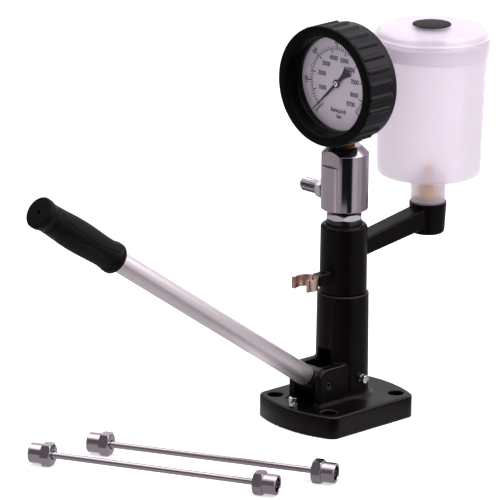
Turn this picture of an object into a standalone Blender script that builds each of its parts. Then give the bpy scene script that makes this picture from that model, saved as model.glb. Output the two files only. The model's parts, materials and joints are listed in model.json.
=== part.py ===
"""Diesel injector tester: a hand pump in a cast stand, with gauge, reservoir and two test pipes.

The column's axis is Z and the foot stands on z = 0. The operator sits at -Y, where the lever
and the dial point. The reservoir's arm points to +Y and the outlet to -X.
"""

import math

import bmesh
import bpy
from mathutils import Matrix, Vector

MM = 0.001
GAP = 0.3 * MM
OVERRUN = 2 * MM
WELD = 0.001 * MM

LARGE_ROUND = 28
ROUND = 20
SMALL_ROUND = 12
HEX_ROUND = 12
FINE_ROUND = 6
FILLET_STEPS = 3

# Base casting: the plate
PLATE_WIDTH = 107.6 * MM
PLATE_LENGTH = 134 * MM
PLATE_SHIFT = 8 * MM
PLATE_THICKNESS = 22.8 * MM
PLATE_END_RADIUS = 120 * MM
PLATE_CORNER_RADIUS = 11 * MM
PLATE_EDGE_RADIUS = 2.5 * MM
BOLT_HOLE_RADIUS = 7.2 * MM
BOLT_SPACING_X = 76.6 * MM
BOLT_SPACING_Y = 93.6 * MM

# Base casting: the lower column and its bore
COLUMN_FOOT_RADIUS = 26.1 * MM
COLUMN_STEP_RADIUS = 25.2 * MM
COLUMN_STEP_HEIGHT = 129.3 * MM
COLUMN_STEP_CHAMFER = 1 * MM
FOOT_FILLET = 7 * MM
CROSSHEAD_BORE_RADIUS = 17.5 * MM
BORE_FLOOR = 3.5 * MM

# Base casting: the lever box
CHEEK_OUTER = 21.8 * MM
CHEEK_INNER = 13.8 * MM
CHEEK_FRONT = 51.1 * MM
CHEEK_TOP = 60.3 * MM
CHEEK_CORNER_RADIUS = 11 * MM
CHEEK_EDGE_RADIUS = 1.2 * MM
CHEEK_FOOT_FILLET = 3 * MM
PIVOT_Y = -39 * MM
PIVOT_HEIGHT = 43.6 * MM
PIVOT_PIN_RADIUS = 3.4 * MM
PIVOT_PIN_BORE = 1.7 * MM
PIVOT_PIN_CHAMFER = 0.6 * MM
EYE_RADIUS = 14 * MM
EYE_ROOM = 0.7 * MM
SLOT_HEADROOM = 2 * MM
WINDOW_HALF_WIDTH = 8.2 * MM
WINDOW_TOP = 73.5 * MM
WINDOW_BOTTOM = 15.5 * MM

# Pump housing: the upper column
HOUSING_STEP_RADIUS = 23.7 * MM
HOUSING_TOP_RADIUS = 23.3 * MM
HOUSING_TOP = 199.3 * MM
HOUSING_BEVEL = 2.4 * MM
SPIGOT_DEPTH = 12 * MM
BARREL_RADIUS = 15 * MM
COLLAR_RADIUS = 17.6 * MM
COLLAR_DEPTH = 6 * MM

# Pump housing: the arm and its cup boss
ARM_REACH = 118.6 * MM
ARM_WIDTH = 21 * MM
ARM_ROOT_Y = 20 * MM
ARM_ROOT_TOP = 180.9 * MM
ARM_ROOT_BOTTOM = 163 * MM
ARM_TIP_TOP = 198.2 * MM
ARM_TIP_BOTTOM = 176.8 * MM
ARM_EDGE_RADIUS = 1.5 * MM
BOSS_TOP = 200.6 * MM
BOSS_BOTTOM = 167.6 * MM
BOSS_TOP_RADIUS = 19 * MM
BOSS_BOTTOM_RADIUS = 17.4 * MM
BOSS_CORNER_RADIUS = 3 * MM
BOSS_RIM_BEVEL = 0.5 * MM
CUP_RADIUS = 18 * MM
CUP_DEPTH = 2.2 * MM
FUEL_WAY_RADIUS = 3 * MM
FITTING_THREAD_RADIUS = 6.5 * MM
FITTING_THREAD_DEPTH = 14 * MM
FUEL_WELL_DEPTH = 22 * MM

# Pump housing: the clip's pad
CLIP_Y = -50.5 * MM
CLIP_HEIGHT = 147.3 * MM
CLIP_BAND = 10.4 * MM
CLIP_PLAY = 0.5 * MM
CLIP_THICKNESS = 0.8 * MM
CLIP_MOUTH_SHARE = 0.25
CLIP_LIP_RADIUS = 2 * MM
CLIP_STEPS = 9
PAD_HALF_WIDTH = 5.6 * MM
PAD_HEIGHT = 12 * MM
PAD_BEVEL = 1 * MM
CLIP_SCREW_RADIUS = 1.6 * MM
CLIP_SCREW_HEAD_RADIUS = 3.2 * MM
CLIP_SCREW_HEAD = 0.8 * MM
CLIP_SCREW_LENGTH = 9 * MM

# Lever
LEVER_ANGLE = math.radians(33.9)
TUBE_RADIUS = 10.4 * MM
TUBE_WALL = 2 * MM
TUBE_START = 14.8 * MM
GRIP_START = 319.5 * MM
GRIP_END = 431.3 * MM
GRIP_COVER = 5 * MM
EYE_HALF_WIDTH = 13.2 * MM
SPIGOT_LENGTH = 45 * MM
NOSE_REACH = 43 * MM
NOSE_LIFT = math.radians(8)
NOSE_RADIUS = 5.5 * MM
NOSE_HALF_WIDTH = 7 * MM
ARM_ROOT_HALF_DEPTH = 7 * MM
ARM_NOSE_HALF_DEPTH = 2.7 * MM

# Grip: radii along its length, as shares of its length from the tube's side
GRIP_FLANGE_RADIUS = 15.6 * MM
GRIP_WAIST_RADIUS = 14.4 * MM
GRIP_BELLY_RADIUS = 15.8 * MM
GRIP_END_RADIUS = 15.7 * MM
GRIP_NECK_RADIUS = 14.3 * MM
GRIP_LOBES = 4
GRIP_LOBE_DEPTH = 0.7 * MM
GRIP_RINGS = 18
GRIP_FLANGE_SHARE = 0.04
GRIP_INNER_WAIST_SHARE = 0.11
GRIP_BELLY_SHARE = 0.5
GRIP_NECK_SHARE = 0.9
GRIP_HOLE_RADIUS = 2 * MM

# Crosshead, plunger and barrel
JAW_TOP_ROOM = 1 * MM
JAW_BOTTOM_ROOM = 2.1 * MM
JAW_BOTTOM_WALL = 4.5 * MM
CROSSHEAD_CROWN = 9 * MM
JAW_FRONT = 7.5 * MM
JAW_BACK = 10.5 * MM
JAW_SLOPE = math.radians(48)
PLUNGER_RADIUS = 6 * MM
PLUNGER_SEAT_DEPTH = 7 * MM
PLUNGER_TOP = 178 * MM
PLUNGER_PIN_RADIUS = 1.5 * MM
PLUNGER_PIN_HALF_LENGTH = 16 * MM
BARREL_BOTTOM = 100 * MM
NECK_RADIUS = 12 * MM
NECK_TOP = 220.5 * MM
COLLAR_TOP = 203.9 * MM
PACKING_RADIUS = 9.5 * MM
PACKING_DEPTH = 12 * MM
PACKING_LENGTH = 5 * MM
GLAND_FLATS = 24 * MM
GLAND_HEAD = 6 * MM
BARREL_CROWN = 203 * MM
DELIVERY_WAY_RADIUS = 2 * MM
INLET_HEIGHT = 170 * MM
INLET_GROOVE_HALF = 3 * MM
INLET_GROOVE_DEPTH = 1.5 * MM
INLET_PORT_RADIUS = 1.5 * MM

# Jam nut and valve body
JAM_NUT_FLATS = 34.5 * MM
JAM_NUT_HEIGHT = 6.8 * MM
NUT_CROWN_SHARE = 0.96
VALVE_RADIUS = 23.6 * MM
VALVE_BOTTOM = 214.5 * MM
VALVE_SHOULDER = 271.6 * MM
VALVE_TOP = 279.4 * MM
VALVE_TOP_RADIUS = 15.8 * MM
VALVE_EDGE = 0.8 * MM
VALVE_FLAT_OFFSET = 20.6 * MM
VALVE_FLAT_BOTTOM = 255 * MM
VALVE_CHAMBER_RADIUS = 7 * MM
VALVE_CHAMBER_TOP = 246 * MM
VALVE_WAY_RADIUS = 1.6 * MM
GAUGE_PORT_RADIUS = 6.5 * MM
GAUGE_PORT_DEPTH = 15 * MM
OUTLET_HEIGHT = 228 * MM
OUTLET_PORT_RADIUS = 5 * MM
OUTLET_PORT_DEPTH = 13 * MM
WASHER = 1 * MM

# Delivery valve
POPPET_RADIUS = 3.6 * MM
POPPET_HEIGHT = 5 * MM
POPPET_STEM_RADIUS = 2 * MM
POPPET_STEM = 4 * MM
SPRING_RADIUS = 3.2 * MM
SPRING_WIRE_RADIUS = 0.5 * MM
SPRING_TURNS = 6
SPRING_STEPS = 6

# Outlet union
UNION_THREAD_RADIUS = 7 * MM
UNION_TIP = 62.5 * MM
UNION_FLATS = 19 * MM
UNION_HEX_THICKNESS = 7.6 * MM
UNION_BORE_RADIUS = 2 * MM
UNION_CONE_RADIUS = 4.4 * MM
UNION_CHAMFER = 1 * MM

# Gauge, measured from its centre along the dial's normal
GAUGE_HEIGHT = 343.4 * MM
GAUGE_TURN = math.radians(3.4)
CASE_RADIUS = 50 * MM
CASE_WALL = 1.2 * MM
CASE_BACK = -6 * MM
CASE_FRONT = 19 * MM
DIAL_FACE = 12 * MM
DIAL_THICKNESS = 1 * MM
DIAL_HOLE_RADIUS = 2.5 * MM
OPENING_RADIUS = 46.8 * MM
LENS_THICKNESS = 2 * MM
BEZEL_LIP = 1.6 * MM
BEZEL_SKIRT = 1 * MM
BOOT_FRONT = 31.8 * MM
BOOT_BACK = -9 * MM
BOOT_RADIUS = 58.6 * MM
BOOT_RING_RADIUS = 60 * MM
BOOT_LIP_RADIUS = 49.6 * MM
BOOT_THROAT_RADIUS = 47.6 * MM
BOOT_BACK_HOLE_RADIUS = 40 * MM
BOOT_EDGE_RADIUS = 1.6 * MM
BOOT_RING_WIDTH = 5 * MM
BOOT_BAND_WIDTH = 9.5 * MM
BOOT_RIBS = 28
BOOT_RIB_PHASE = math.radians(8.9)
BOOT_RIB_HEIGHT = 2.3 * MM
BOOT_RIB_WIDTH_SHARE = 0.36
BOOT_RIB_CROWN_SHARE = 0.6
BOOT_STEM_HOLE_RADIUS = 12 * MM

# Gauge stem, in world heights
STEM_FLATS = 19 * MM
STEM_HEX_TOP = 291 * MM
STEM_RADIUS = 6 * MM
STEM_TOP = 314 * MM
STEM_BORE_RADIUS = 1.6 * MM

# Pointer and movement, along the dial's normal from the gauge's centre
REST_ANGLE = math.radians(223)
POINTER_SWEEP = math.radians(270)
POINTER_LENGTH = 44 * MM
POINTER_TIP = 0.3 * MM
POINTER_ROOT = 1.5 * MM
POINTER_EYE_RADIUS = 3.3 * MM
POINTER_TAIL = 20.8 * MM
POINTER_TAIL_CROWN = 0.8 * MM
POINTER_TAIL_HALF_WIDTH = 6.1 * MM
POINTER_TAIL_SHARES = ((0.3, 0.28), (0.5, 0.36), (0.7, 0.52), (0.85, 0.72), (1, 1))
POINTER_BACK = 14 * MM
POINTER_THICKNESS = 0.6 * MM
ARBOR_RADIUS = 1.2 * MM
ARBOR_HEAD_RADIUS = 2.4 * MM
ARBOR_HEAD = 1.2 * MM
ARBOR_BACK = 1 * MM
TOOTH_MODULE = 0.5 * MM
PINION_TEETH = 12
SECTOR_TEETH = 84
SECTOR_TEETH_KEPT = 12
TOOTH_ADDENDUM_SHARE = 0.8
TOOTH_DEDENDUM_SHARE = 1.1
TOOTH_TIP_SHARE = 0.12
TOOTH_ROOT_SHARE = 0.25
SECTOR_THICKNESS = 1.2 * MM
SECTOR_BACK = 5 * MM
PINION_HALF_OVERHANG = 1 * MM
SECTOR_HUB_RADIUS = 3 * MM
SECTOR_PIN_RADIUS = 1.2 * MM
FRAME_BACK = 2.2 * MM
FRAME_FRONT = 8.4 * MM
FRAME_PLATE = 1.2 * MM
FRAME_WIDTH = 20 * MM
FRAME_MARGIN = 4 * MM
PILLAR_RADIUS = 2 * MM
BOURDON_RADIUS = 34 * MM
BOURDON_TUBE_RADIUS = 3.2 * MM
BOURDON_DEPTH = 3 * MM
BOURDON_SWEEP = math.radians(235)
BOURDON_POINTS = 20

# Reservoir
TANK_BOTTOM = 229.8 * MM
TANK_BOTTOM_RADIUS = 52 * MM
TANK_TOP_RADIUS = 56 * MM
TANK_TOP = 366 * MM
TANK_WALL = 1.8 * MM
TANK_CORNER_RADIUS = 4 * MM
SKIRT_RADIUS = 17.7 * MM
SEAL_THICKNESS = 2.4 * MM
LID_TOP = 380 * MM
LID_FLAT_RADIUS = 49 * MM
LID_EDGE_RADIUS = 7 * MM
LID_BEAD_RADIUS = 59.4 * MM
LID_BEAD_HEIGHT = 371.5 * MM
LID_SKIRT_BOTTOM = 352.5 * MM
LID_SKIRT_RADIUS = 58.2 * MM
LID_WALL = 1.6 * MM
SOCKET_RADIUS = 15.4 * MM
SOCKET_BOTTOM = 357 * MM
CAP_RADIUS = 19.5 * MM
CAP_HEIGHT = 3 * MM
CAP_EDGE_RADIUS = 1.2 * MM
CAP_PLUG_DEPTH = 14 * MM
CAP_PLUG_WALL = 1.6 * MM

# Brass fitting between the reservoir and the arm
FITTING_FLATS = 19 * MM
FITTING_HEX_BOTTOM = 207 * MM
FITTING_HEX_TOP = 215 * MM
FITTING_CONE_TOP = 220 * MM
FITTING_NECK_RADIUS = 8 * MM
FITTING_SHANK_RADIUS = 5.4 * MM
FITTING_TOP = 235.5 * MM
FITTING_BORE_RADIUS = 2.8 * MM

# Small screws
STOP_Y = -67 * MM
SCREW_RADIUS = 2.5 * MM
SCREW_FLATS = 8 * MM
SCREW_HEAD = 3.6 * MM
SCREW_NUT = 4 * MM
STOP_SCREW_TOP = 32.2 * MM
STOP_SCREW_DEPTH = 14 * MM
SIDE_SCREW_HEIGHT = 44.5 * MM
SIDE_SCREW_TIP = 17.9 * MM
SIDE_SCREW_HEAD_AT = 31.4 * MM

# Test pipes
PIPE_LENGTH = 254 * MM
PIPE_RADIUS = 3.15 * MM
PIPE_BORE_RADIUS = 1.2 * MM
PIPE_CONE_RADIUS = 6.2 * MM
PIPE_CONE_LENGTH = 6 * MM
PIPE_COLLAR_LENGTH = 3 * MM
UNION_NUT_FLATS = 21.6 * MM
UNION_NUT_HEX = 10 * MM
UNION_NUT_SLEEVE_RADIUS = 9.9 * MM
UNION_NUT_LENGTH = 23 * MM
UNION_NUT_MOUTH_RADIUS = 7.2 * MM
UNION_NUT_FLOOR = 5 * MM
UNION_NUT_CHAMFER = 0.8 * MM
PIPE_END_INSET = 5 * MM
PIPE_FRONT_CENTRE = (21 * MM, -272.5 * MM)
PIPE_FRONT_TURN = math.radians(26.2)
PIPE_REAR_CENTRE = (34.5 * MM, -208.8 * MM)
PIPE_REAR_TURN = math.radians(26.8)

# Turns that lay a piece made along Z onto another axis, with its own +X kept level
ALONG_MINUS_Y = (math.pi / 2, 0, 0)
ALONG_PLUS_Y = (-math.pi / 2, 0, 0)
ALONG_PLUS_X = (math.pi / 2, 0, math.pi / 2)
ALONG_MINUS_X = (math.pi / 2, 0, -math.pi / 2)

FINISHES = {
    "black_paint": ((0.012, 0.011, 0.012), 0.42, 0.0),
    "zinc": ((0.62, 0.60, 0.60), 0.32, 1.0),
    "bright_steel": ((0.55, 0.53, 0.55), 0.22, 1.0),
    "dark_steel": ((0.16, 0.15, 0.15), 0.4, 1.0),
    "aluminium": ((0.60, 0.57, 0.60), 0.4, 1.0),
    "brass": ((0.70, 0.46, 0.20), 0.3, 1.0),
    "copper": ((0.60, 0.30, 0.18), 0.4, 1.0),
    "spring_bronze": ((0.33, 0.20, 0.15), 0.38, 1.0),
    "rubber": ((0.016, 0.015, 0.017), 0.6, 0.0),
    "milky_plastic": ((0.88, 0.84, 0.88), 0.45, 0.0),
    "dial_white": ((0.66, 0.62, 0.68), 0.5, 0.0),
    "glass": ((0.9, 0.9, 0.92), 0.05, 0.0),
    "red_rubber": ((0.12, 0.02, 0.02), 0.6, 0.0),
}


def clear_scene():
    for obj in list(bpy.data.objects):
        bpy.data.objects.remove(obj, do_unlink=True)


def finish(name):
    found = bpy.data.materials.get(name)
    if found:
        return found
    colour, roughness, metallic = FINISHES[name]
    made = bpy.data.materials.new(name)
    made.use_nodes = True
    shader = made.node_tree.nodes["Principled BSDF"]
    shader.inputs["Base Color"].default_value = (*colour, 1)
    shader.inputs["Roughness"].default_value = roughness
    shader.inputs["Metallic"].default_value = metallic
    return made


def empty(name, at, turn=(0, 0, 0)):
    made = bpy.data.objects.new(name, None)
    made.location = at
    made.rotation_euler = turn
    bpy.context.scene.collection.objects.link(made)
    return made


def piece(name, bm, look=None, parent=None, at=(0, 0, 0), turn=(0, 0, 0)):
    """Makes an object of a bmesh, placed by its location, its turn and its parent."""
    bmesh.ops.recalc_face_normals(bm, faces=bm.faces)
    mesh = bpy.data.meshes.new(name)
    bm.to_mesh(mesh)
    bm.free()
    mesh.shade_smooth()
    mesh.set_sharp_from_angle(angle=math.radians(30))
    made = bpy.data.objects.new(name, mesh)
    made.location = at
    made.rotation_euler = turn
    made.parent = parent
    bpy.context.scene.collection.objects.link(made)
    if look:
        mesh.materials.append(finish(look))
    return made


def boolean(target, operation, name, bm, at=(0, 0, 0), turn=(0, 0, 0)):
    """Cuts, joins or intersects the target with a helper, which stays out of the render."""
    helper = piece(f"{target.name}_{name}", bm, parent=target.parent, at=at, turn=turn)
    helper.hide_render = True
    helper.display_type = "WIRE"
    modifier = target.modifiers.new(name, "BOOLEAN")
    modifier.operation = operation
    modifier.object = helper
    return helper


def arc(centre, radius, start, end, steps=FILLET_STEPS):
    """Points of an arc about a centre, from one angle in degrees to another."""
    angles = [math.radians(start + (end - start) * i / steps) for i in range(steps + 1)]
    return [(centre[0] + radius * math.cos(a), centre[1] + radius * math.sin(a)) for a in angles]


def swept(profile_at, angles):
    """A solid about Z from a profile of (radius, height) points, which may change with the angle."""
    bm = bmesh.new()
    rows = []
    for angle in angles:
        points = profile_at(angle)
        rows.append([bm.verts.new((r * math.cos(angle), r * math.sin(angle), z)) for r, z in points])
    # A profile that starts off the axis runs round its own section, so its last point joins its first
    count = len(points)
    spans = count if points[0][0] > 0 else count - 1
    for row, after in zip(rows, rows[1:] + rows[:1]):
        for j in range(spans):
            k = (j + 1) % count
            bm.faces.new((row[j], row[k], after[k], after[j]))
    bmesh.ops.remove_doubles(bm, verts=bm.verts, dist=WELD)
    return bm


def even(segments):
    """The angles of a whole turn in equal steps."""
    return [math.tau * i / segments for i in range(segments)]


def turned(profile, segments=ROUND):
    return swept(lambda angle: profile, even(segments))


def hex_side(angle, across_flats, low, high, faces=(1, 1)):
    """Profile down a hexagon with a corner on +X, its corners turned down at the faces marked 1, low first."""
    reach = across_flats / 2 / math.cos(angle % (math.pi / 3) - math.pi / 6)
    crown = across_flats / 2 * NUT_CROWN_SHARE
    drop = (reach - crown) * math.tan(math.radians(30))
    top = [(crown, high), (reach, high - drop)] if faces[1] else [(reach, high)]
    foot = [(reach, low + drop), (crown, low)] if faces[0] else [(reach, low)]
    return top + foot


def cylinder(radius, low, high, segments=ROUND):
    return turned([(0, high), (radius, high), (radius, low), (0, low)], segments)


def tube(outer, inner, low, high, segments=ROUND):
    return turned([(outer, high), (outer, low), (inner, low), (inner, high)], segments)


def prism(outline, low, high):
    """An outline in the XY plane, extruded along Z."""
    bm = bmesh.new()
    base = bm.faces.new([bm.verts.new((x, y, low)) for x, y in outline])
    grown = bmesh.ops.extrude_face_region(bm, geom=[base])["geom"]
    verts = [item for item in grown if isinstance(item, bmesh.types.BMVert)]
    bmesh.ops.translate(bm, verts=verts, vec=(0, 0, high - low))
    return bm


def box(low, high):
    corners = [(low[0], low[1]), (high[0], low[1]), (high[0], high[1]), (low[0], high[1])]
    return prism(corners, low[2], high[2])


def side_prism(outline, half_width):
    """An outline of (y, z) points, extruded along X by half a width to each side."""
    bm = prism(outline, -half_width, half_width)
    turn = Matrix(((0, 0, 1), (1, 0, 0), (0, 1, 0))).to_4x4()
    bmesh.ops.transform(bm, matrix=turn, verts=bm.verts)
    return bm


def bevel_where(bm, test, width, segments=FILLET_STEPS):
    """Rounds the edges whose two ends pass a test."""
    edges = [edge for edge in bm.edges if all(test(vert.co) for vert in edge.verts)]
    bmesh.ops.bevel(
        bm, geom=edges, offset=width, offset_type="OFFSET", segments=segments, profile=0.5,
        affect="EDGES", clamp_overlap=True, material=-1
    )
    return bm


def nut(across_flats, low, high, hole, segments=SMALL_ROUND):
    bore = [(hole, low), (hole, high)]
    return swept(lambda angle: hex_side(angle, across_flats, low, high) + bore, even(segments))


def plate_outline():
    """Two straight sides along Y and two crowned ends, with rounded corners."""
    half = PLATE_WIDTH / 2
    crown = PLATE_LENGTH / 2
    arc_y = crown - PLATE_END_RADIUS
    corner_x = half - PLATE_CORNER_RADIUS
    reach = PLATE_END_RADIUS - PLATE_CORNER_RADIUS
    corner_y = arc_y + math.sqrt(reach**2 - corner_x**2)
    tangent = math.degrees(math.atan2(corner_y - arc_y, corner_x))
    quarter = arc((corner_x, corner_y), PLATE_CORNER_RADIUS, 0, tangent)
    quarter += arc((0, arc_y), PLATE_END_RADIUS, tangent, 90, 5)[1:]
    left = [(-x, y) for x, y in reversed(quarter[:-1])]
    upper = quarter + left
    lower = [(-x, -y) for x, y in upper]
    return [(x, y - PLATE_SHIFT) for x, y in upper + lower]


def column_profile():
    """The lower column with a hollow fillet at its foot, which sinks into the plate."""
    centre = (COLUMN_FOOT_RADIUS + FOOT_FILLET, PLATE_THICKNESS + FOOT_FILLET)
    fillet = arc(centre, FOOT_FILLET, 180, 270)
    root = PLATE_THICKNESS / 2
    return [
        (0, COLUMN_STEP_HEIGHT),
        (COLUMN_STEP_RADIUS - COLUMN_STEP_CHAMFER, COLUMN_STEP_HEIGHT),
        (COLUMN_STEP_RADIUS, COLUMN_STEP_HEIGHT - COLUMN_STEP_CHAMFER),
        *fillet,
        (centre[0], root),
        (0, root),
    ]


def cheek_outline():
    """Side view of the lever box, from its foot in the plate to its rounded front top corner."""
    corner = (-CHEEK_FRONT + CHEEK_CORNER_RADIUS, CHEEK_TOP - CHEEK_CORNER_RADIUS)
    root = PLATE_THICKNESS / 2
    return [(0, root), (0, CHEEK_TOP), *arc(corner, CHEEK_CORNER_RADIUS, 90, 180), (-CHEEK_FRONT, root)]


def base_casting():
    plate = prism(plate_outline(), 0, PLATE_THICKNESS)
    bevel_where(plate, lambda co: co.z > PLATE_THICKNESS - WELD, PLATE_EDGE_RADIUS, 3)
    casting = piece("base_casting", plate, "black_paint")
    boolean(casting, "UNION", "column", turned(column_profile(), LARGE_ROUND))

    cheeks = side_prism(cheek_outline(), CHEEK_OUTER)
    bevel_where(cheeks, lambda co: abs(co.x) > CHEEK_OUTER - WELD, CHEEK_EDGE_RADIUS, 2)
    boolean(casting, "UNION", "cheeks", cheeks)

    foot_low = PLATE_THICKNESS - OVERRUN
    foot = box(
        (-CHEEK_OUTER - CHEEK_FOOT_FILLET, -CHEEK_FRONT - CHEEK_FOOT_FILLET, foot_low),
        (CHEEK_OUTER + CHEEK_FOOT_FILLET, 0, PLATE_THICKNESS + CHEEK_FOOT_FILLET),
    )
    bevel_where(foot, lambda co: co.z > PLATE_THICKNESS, CHEEK_FOOT_FILLET - GAP, 1)
    boolean(casting, "UNION", "foot", foot)

    slot_back = PIVOT_Y + EYE_RADIUS + EYE_ROOM
    slot_top = CHEEK_TOP + SLOT_HEADROOM
    slot_front = -CHEEK_FRONT - CHEEK_FOOT_FILLET - OVERRUN
    slot = box((-CHEEK_INNER, slot_front, PLATE_THICKNESS), (CHEEK_INNER, slot_back, slot_top))
    boolean(casting, "DIFFERENCE", "slot", slot)
    window = box((-WINDOW_HALF_WIDTH, slot_back - OVERRUN, WINDOW_BOTTOM), (WINDOW_HALF_WIDTH, 0, WINDOW_TOP))
    boolean(casting, "DIFFERENCE", "window", window)
    bore = cylinder(CROSSHEAD_BORE_RADIUS, BORE_FLOOR, COLUMN_STEP_HEIGHT + OVERRUN)
    boolean(casting, "DIFFERENCE", "bore", bore)

    pin_hole = cylinder(PIVOT_PIN_RADIUS + GAP, -CHEEK_OUTER - OVERRUN, CHEEK_OUTER + OVERRUN, SMALL_ROUND)
    boolean(casting, "DIFFERENCE", "pin_hole", pin_hole, (0, PIVOT_Y, PIVOT_HEIGHT), ALONG_PLUS_X)
    side_hole = cylinder(SCREW_RADIUS + GAP, 0, COLUMN_FOOT_RADIUS + OVERRUN, SMALL_ROUND)
    boolean(casting, "DIFFERENCE", "side_hole", side_hole, (0, 0, SIDE_SCREW_HEIGHT), ALONG_PLUS_X)
    stop_floor = STOP_SCREW_TOP - SCREW_HEAD - STOP_SCREW_DEPTH - OVERRUN
    stop_hole = cylinder(SCREW_RADIUS + GAP, stop_floor, PLATE_THICKNESS + OVERRUN, SMALL_ROUND)
    boolean(casting, "DIFFERENCE", "stop_hole", stop_hole, (0, STOP_Y, 0))
    for side in (-1, 1):
        for end in (-1, 1):
            place = (side * BOLT_SPACING_X / 2, end * BOLT_SPACING_Y / 2 - PLATE_SHIFT, 0)
            hole = cylinder(BOLT_HOLE_RADIUS, -OVERRUN, PLATE_THICKNESS + OVERRUN)
            boolean(casting, "DIFFERENCE", f"bolt_hole_{side}_{end}", hole, place)


def arm_outline():
    """Side view of the arm, from inside the column's wall to the boss's axis."""
    return [
        (ARM_ROOT_Y, ARM_ROOT_BOTTOM),
        (ARM_REACH, ARM_TIP_BOTTOM),
        (ARM_REACH, ARM_TIP_TOP),
        (ARM_ROOT_Y, ARM_ROOT_TOP),
    ]


def pump_housing():
    """The upper column, which stands on the base casting with a spigot in its bore, and the arm."""
    foot = COLUMN_STEP_HEIGHT + GAP
    spigot = CROSSHEAD_BORE_RADIUS - GAP
    profile = [
        (0, HOUSING_TOP),
        (HOUSING_TOP_RADIUS - HOUSING_BEVEL, HOUSING_TOP),
        (HOUSING_TOP_RADIUS, HOUSING_TOP - HOUSING_BEVEL),
        (HOUSING_STEP_RADIUS, foot),
        (spigot, foot),
        (spigot, foot - SPIGOT_DEPTH),
        (0, foot - SPIGOT_DEPTH),
    ]
    housing = piece("pump_housing", turned(profile, LARGE_ROUND), "black_paint")

    arm = side_prism(arm_outline(), ARM_WIDTH / 2)
    bevel_where(arm, lambda co: abs(co.x) > ARM_WIDTH / 2 - WELD, ARM_EDGE_RADIUS, 2)
    boolean(housing, "UNION", "arm", arm)
    corner = (BOSS_BOTTOM_RADIUS - BOSS_CORNER_RADIUS, BOSS_BOTTOM + BOSS_CORNER_RADIUS)
    boss = [
        (0, BOSS_TOP),
        (BOSS_TOP_RADIUS - BOSS_RIM_BEVEL, BOSS_TOP),
        (BOSS_TOP_RADIUS, BOSS_TOP - BOSS_RIM_BEVEL),
        *arc(corner, BOSS_CORNER_RADIUS, 0, -90),
        (0, BOSS_BOTTOM),
    ]
    boolean(housing, "UNION", "boss", turned(boss, LARGE_ROUND), (0, ARM_REACH, 0))

    pad_back = -HOUSING_TOP_RADIUS / 2
    pad_front = CLIP_Y + clip_inner_radius() + CLIP_THICKNESS + GAP
    pad = box(
        (-PAD_HALF_WIDTH, pad_front, CLIP_HEIGHT - PAD_HEIGHT / 2),
        (PAD_HALF_WIDTH, pad_back, CLIP_HEIGHT + PAD_HEIGHT / 2),
    )
    bevel_where(pad, lambda co: co.y < pad_front + WELD, PAD_BEVEL, 2)
    boolean(housing, "UNION", "pad", pad)

    bore = turned(
        [
            (0, HOUSING_TOP + OVERRUN),
            (COLLAR_RADIUS + GAP, HOUSING_TOP + OVERRUN),
            (COLLAR_RADIUS + GAP, HOUSING_TOP - COLLAR_DEPTH),
            (BARREL_RADIUS + GAP, HOUSING_TOP - COLLAR_DEPTH),
            (BARREL_RADIUS + GAP, foot - SPIGOT_DEPTH - OVERRUN),
            (0, foot - SPIGOT_DEPTH - OVERRUN),
        ]
    )
    boolean(housing, "DIFFERENCE", "bore", bore)
    cup = turned(
        [
            (0, BOSS_TOP + OVERRUN),
            (CUP_RADIUS, BOSS_TOP + OVERRUN),
            (CUP_RADIUS, BOSS_TOP - CUP_DEPTH),
            (FITTING_THREAD_RADIUS + GAP, BOSS_TOP - CUP_DEPTH),
            (FITTING_THREAD_RADIUS + GAP, BOSS_TOP - CUP_DEPTH - FITTING_THREAD_DEPTH),
            (FUEL_WAY_RADIUS, BOSS_TOP - CUP_DEPTH - FITTING_THREAD_DEPTH),
            (FUEL_WAY_RADIUS, BOSS_TOP - FUEL_WELL_DEPTH),
            (0, BOSS_TOP - FUEL_WELL_DEPTH),
        ]
    )
    boolean(housing, "DIFFERENCE", "cup", cup, (0, ARM_REACH, 0))
    rise = math.atan2(BOSS_TOP - FUEL_WELL_DEPTH + FUEL_WAY_RADIUS - INLET_HEIGHT, ARM_REACH)
    fuel_way = cylinder(FUEL_WAY_RADIUS, BARREL_RADIUS / 2, ARM_REACH / math.cos(rise), SMALL_ROUND)
    boolean(housing, "DIFFERENCE", "fuel_way", fuel_way, (0, 0, INLET_HEIGHT), (rise - math.pi / 2, 0, 0))
    screw_hole = cylinder(CLIP_SCREW_RADIUS + GAP, -OVERRUN, CLIP_SCREW_LENGTH + OVERRUN, SMALL_ROUND)
    boolean(housing, "DIFFERENCE", "clip_hole", screw_hole, (0, pad_front, CLIP_HEIGHT), ALONG_PLUS_Y)


def clip_inner_radius():
    return TUBE_RADIUS + CLIP_PLAY


def clip_outline():
    """Plan of the clip: an open ring of strip, with lips rolled outwards at its mouth."""
    middle = clip_inner_radius() + CLIP_THICKNESS / 2
    gape = 180 * CLIP_MOUTH_SHARE
    ring = arc((0, 0), middle, -90 + gape, 90, CLIP_STEPS)
    end = ring[0]
    out = math.radians(-90 + gape)
    lip_centre = (end[0] + CLIP_LIP_RADIUS * math.cos(out), end[1] + CLIP_LIP_RADIUS * math.sin(out))
    lip = arc(lip_centre, CLIP_LIP_RADIUS, 90 + gape, 90 + gape + 130)
    half = list(reversed(lip))[:-1] + ring
    return half + [(-x, y) for x, y in reversed(half[:-1])]


def thicken(points, thickness):
    """Both sides of a strip that follows an open line of points."""
    left, right = [], []
    for i, point in enumerate(points):
        before = Vector(points[max(i - 1, 0)])
        after = Vector(points[min(i + 1, len(points) - 1)])
        along = (after - before).normalized()
        side = Vector((-along.y, along.x)) * thickness / 2
        left.append(tuple(Vector(point) + side))
        right.append(tuple(Vector(point) - side))
    return left + list(reversed(right))


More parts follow.
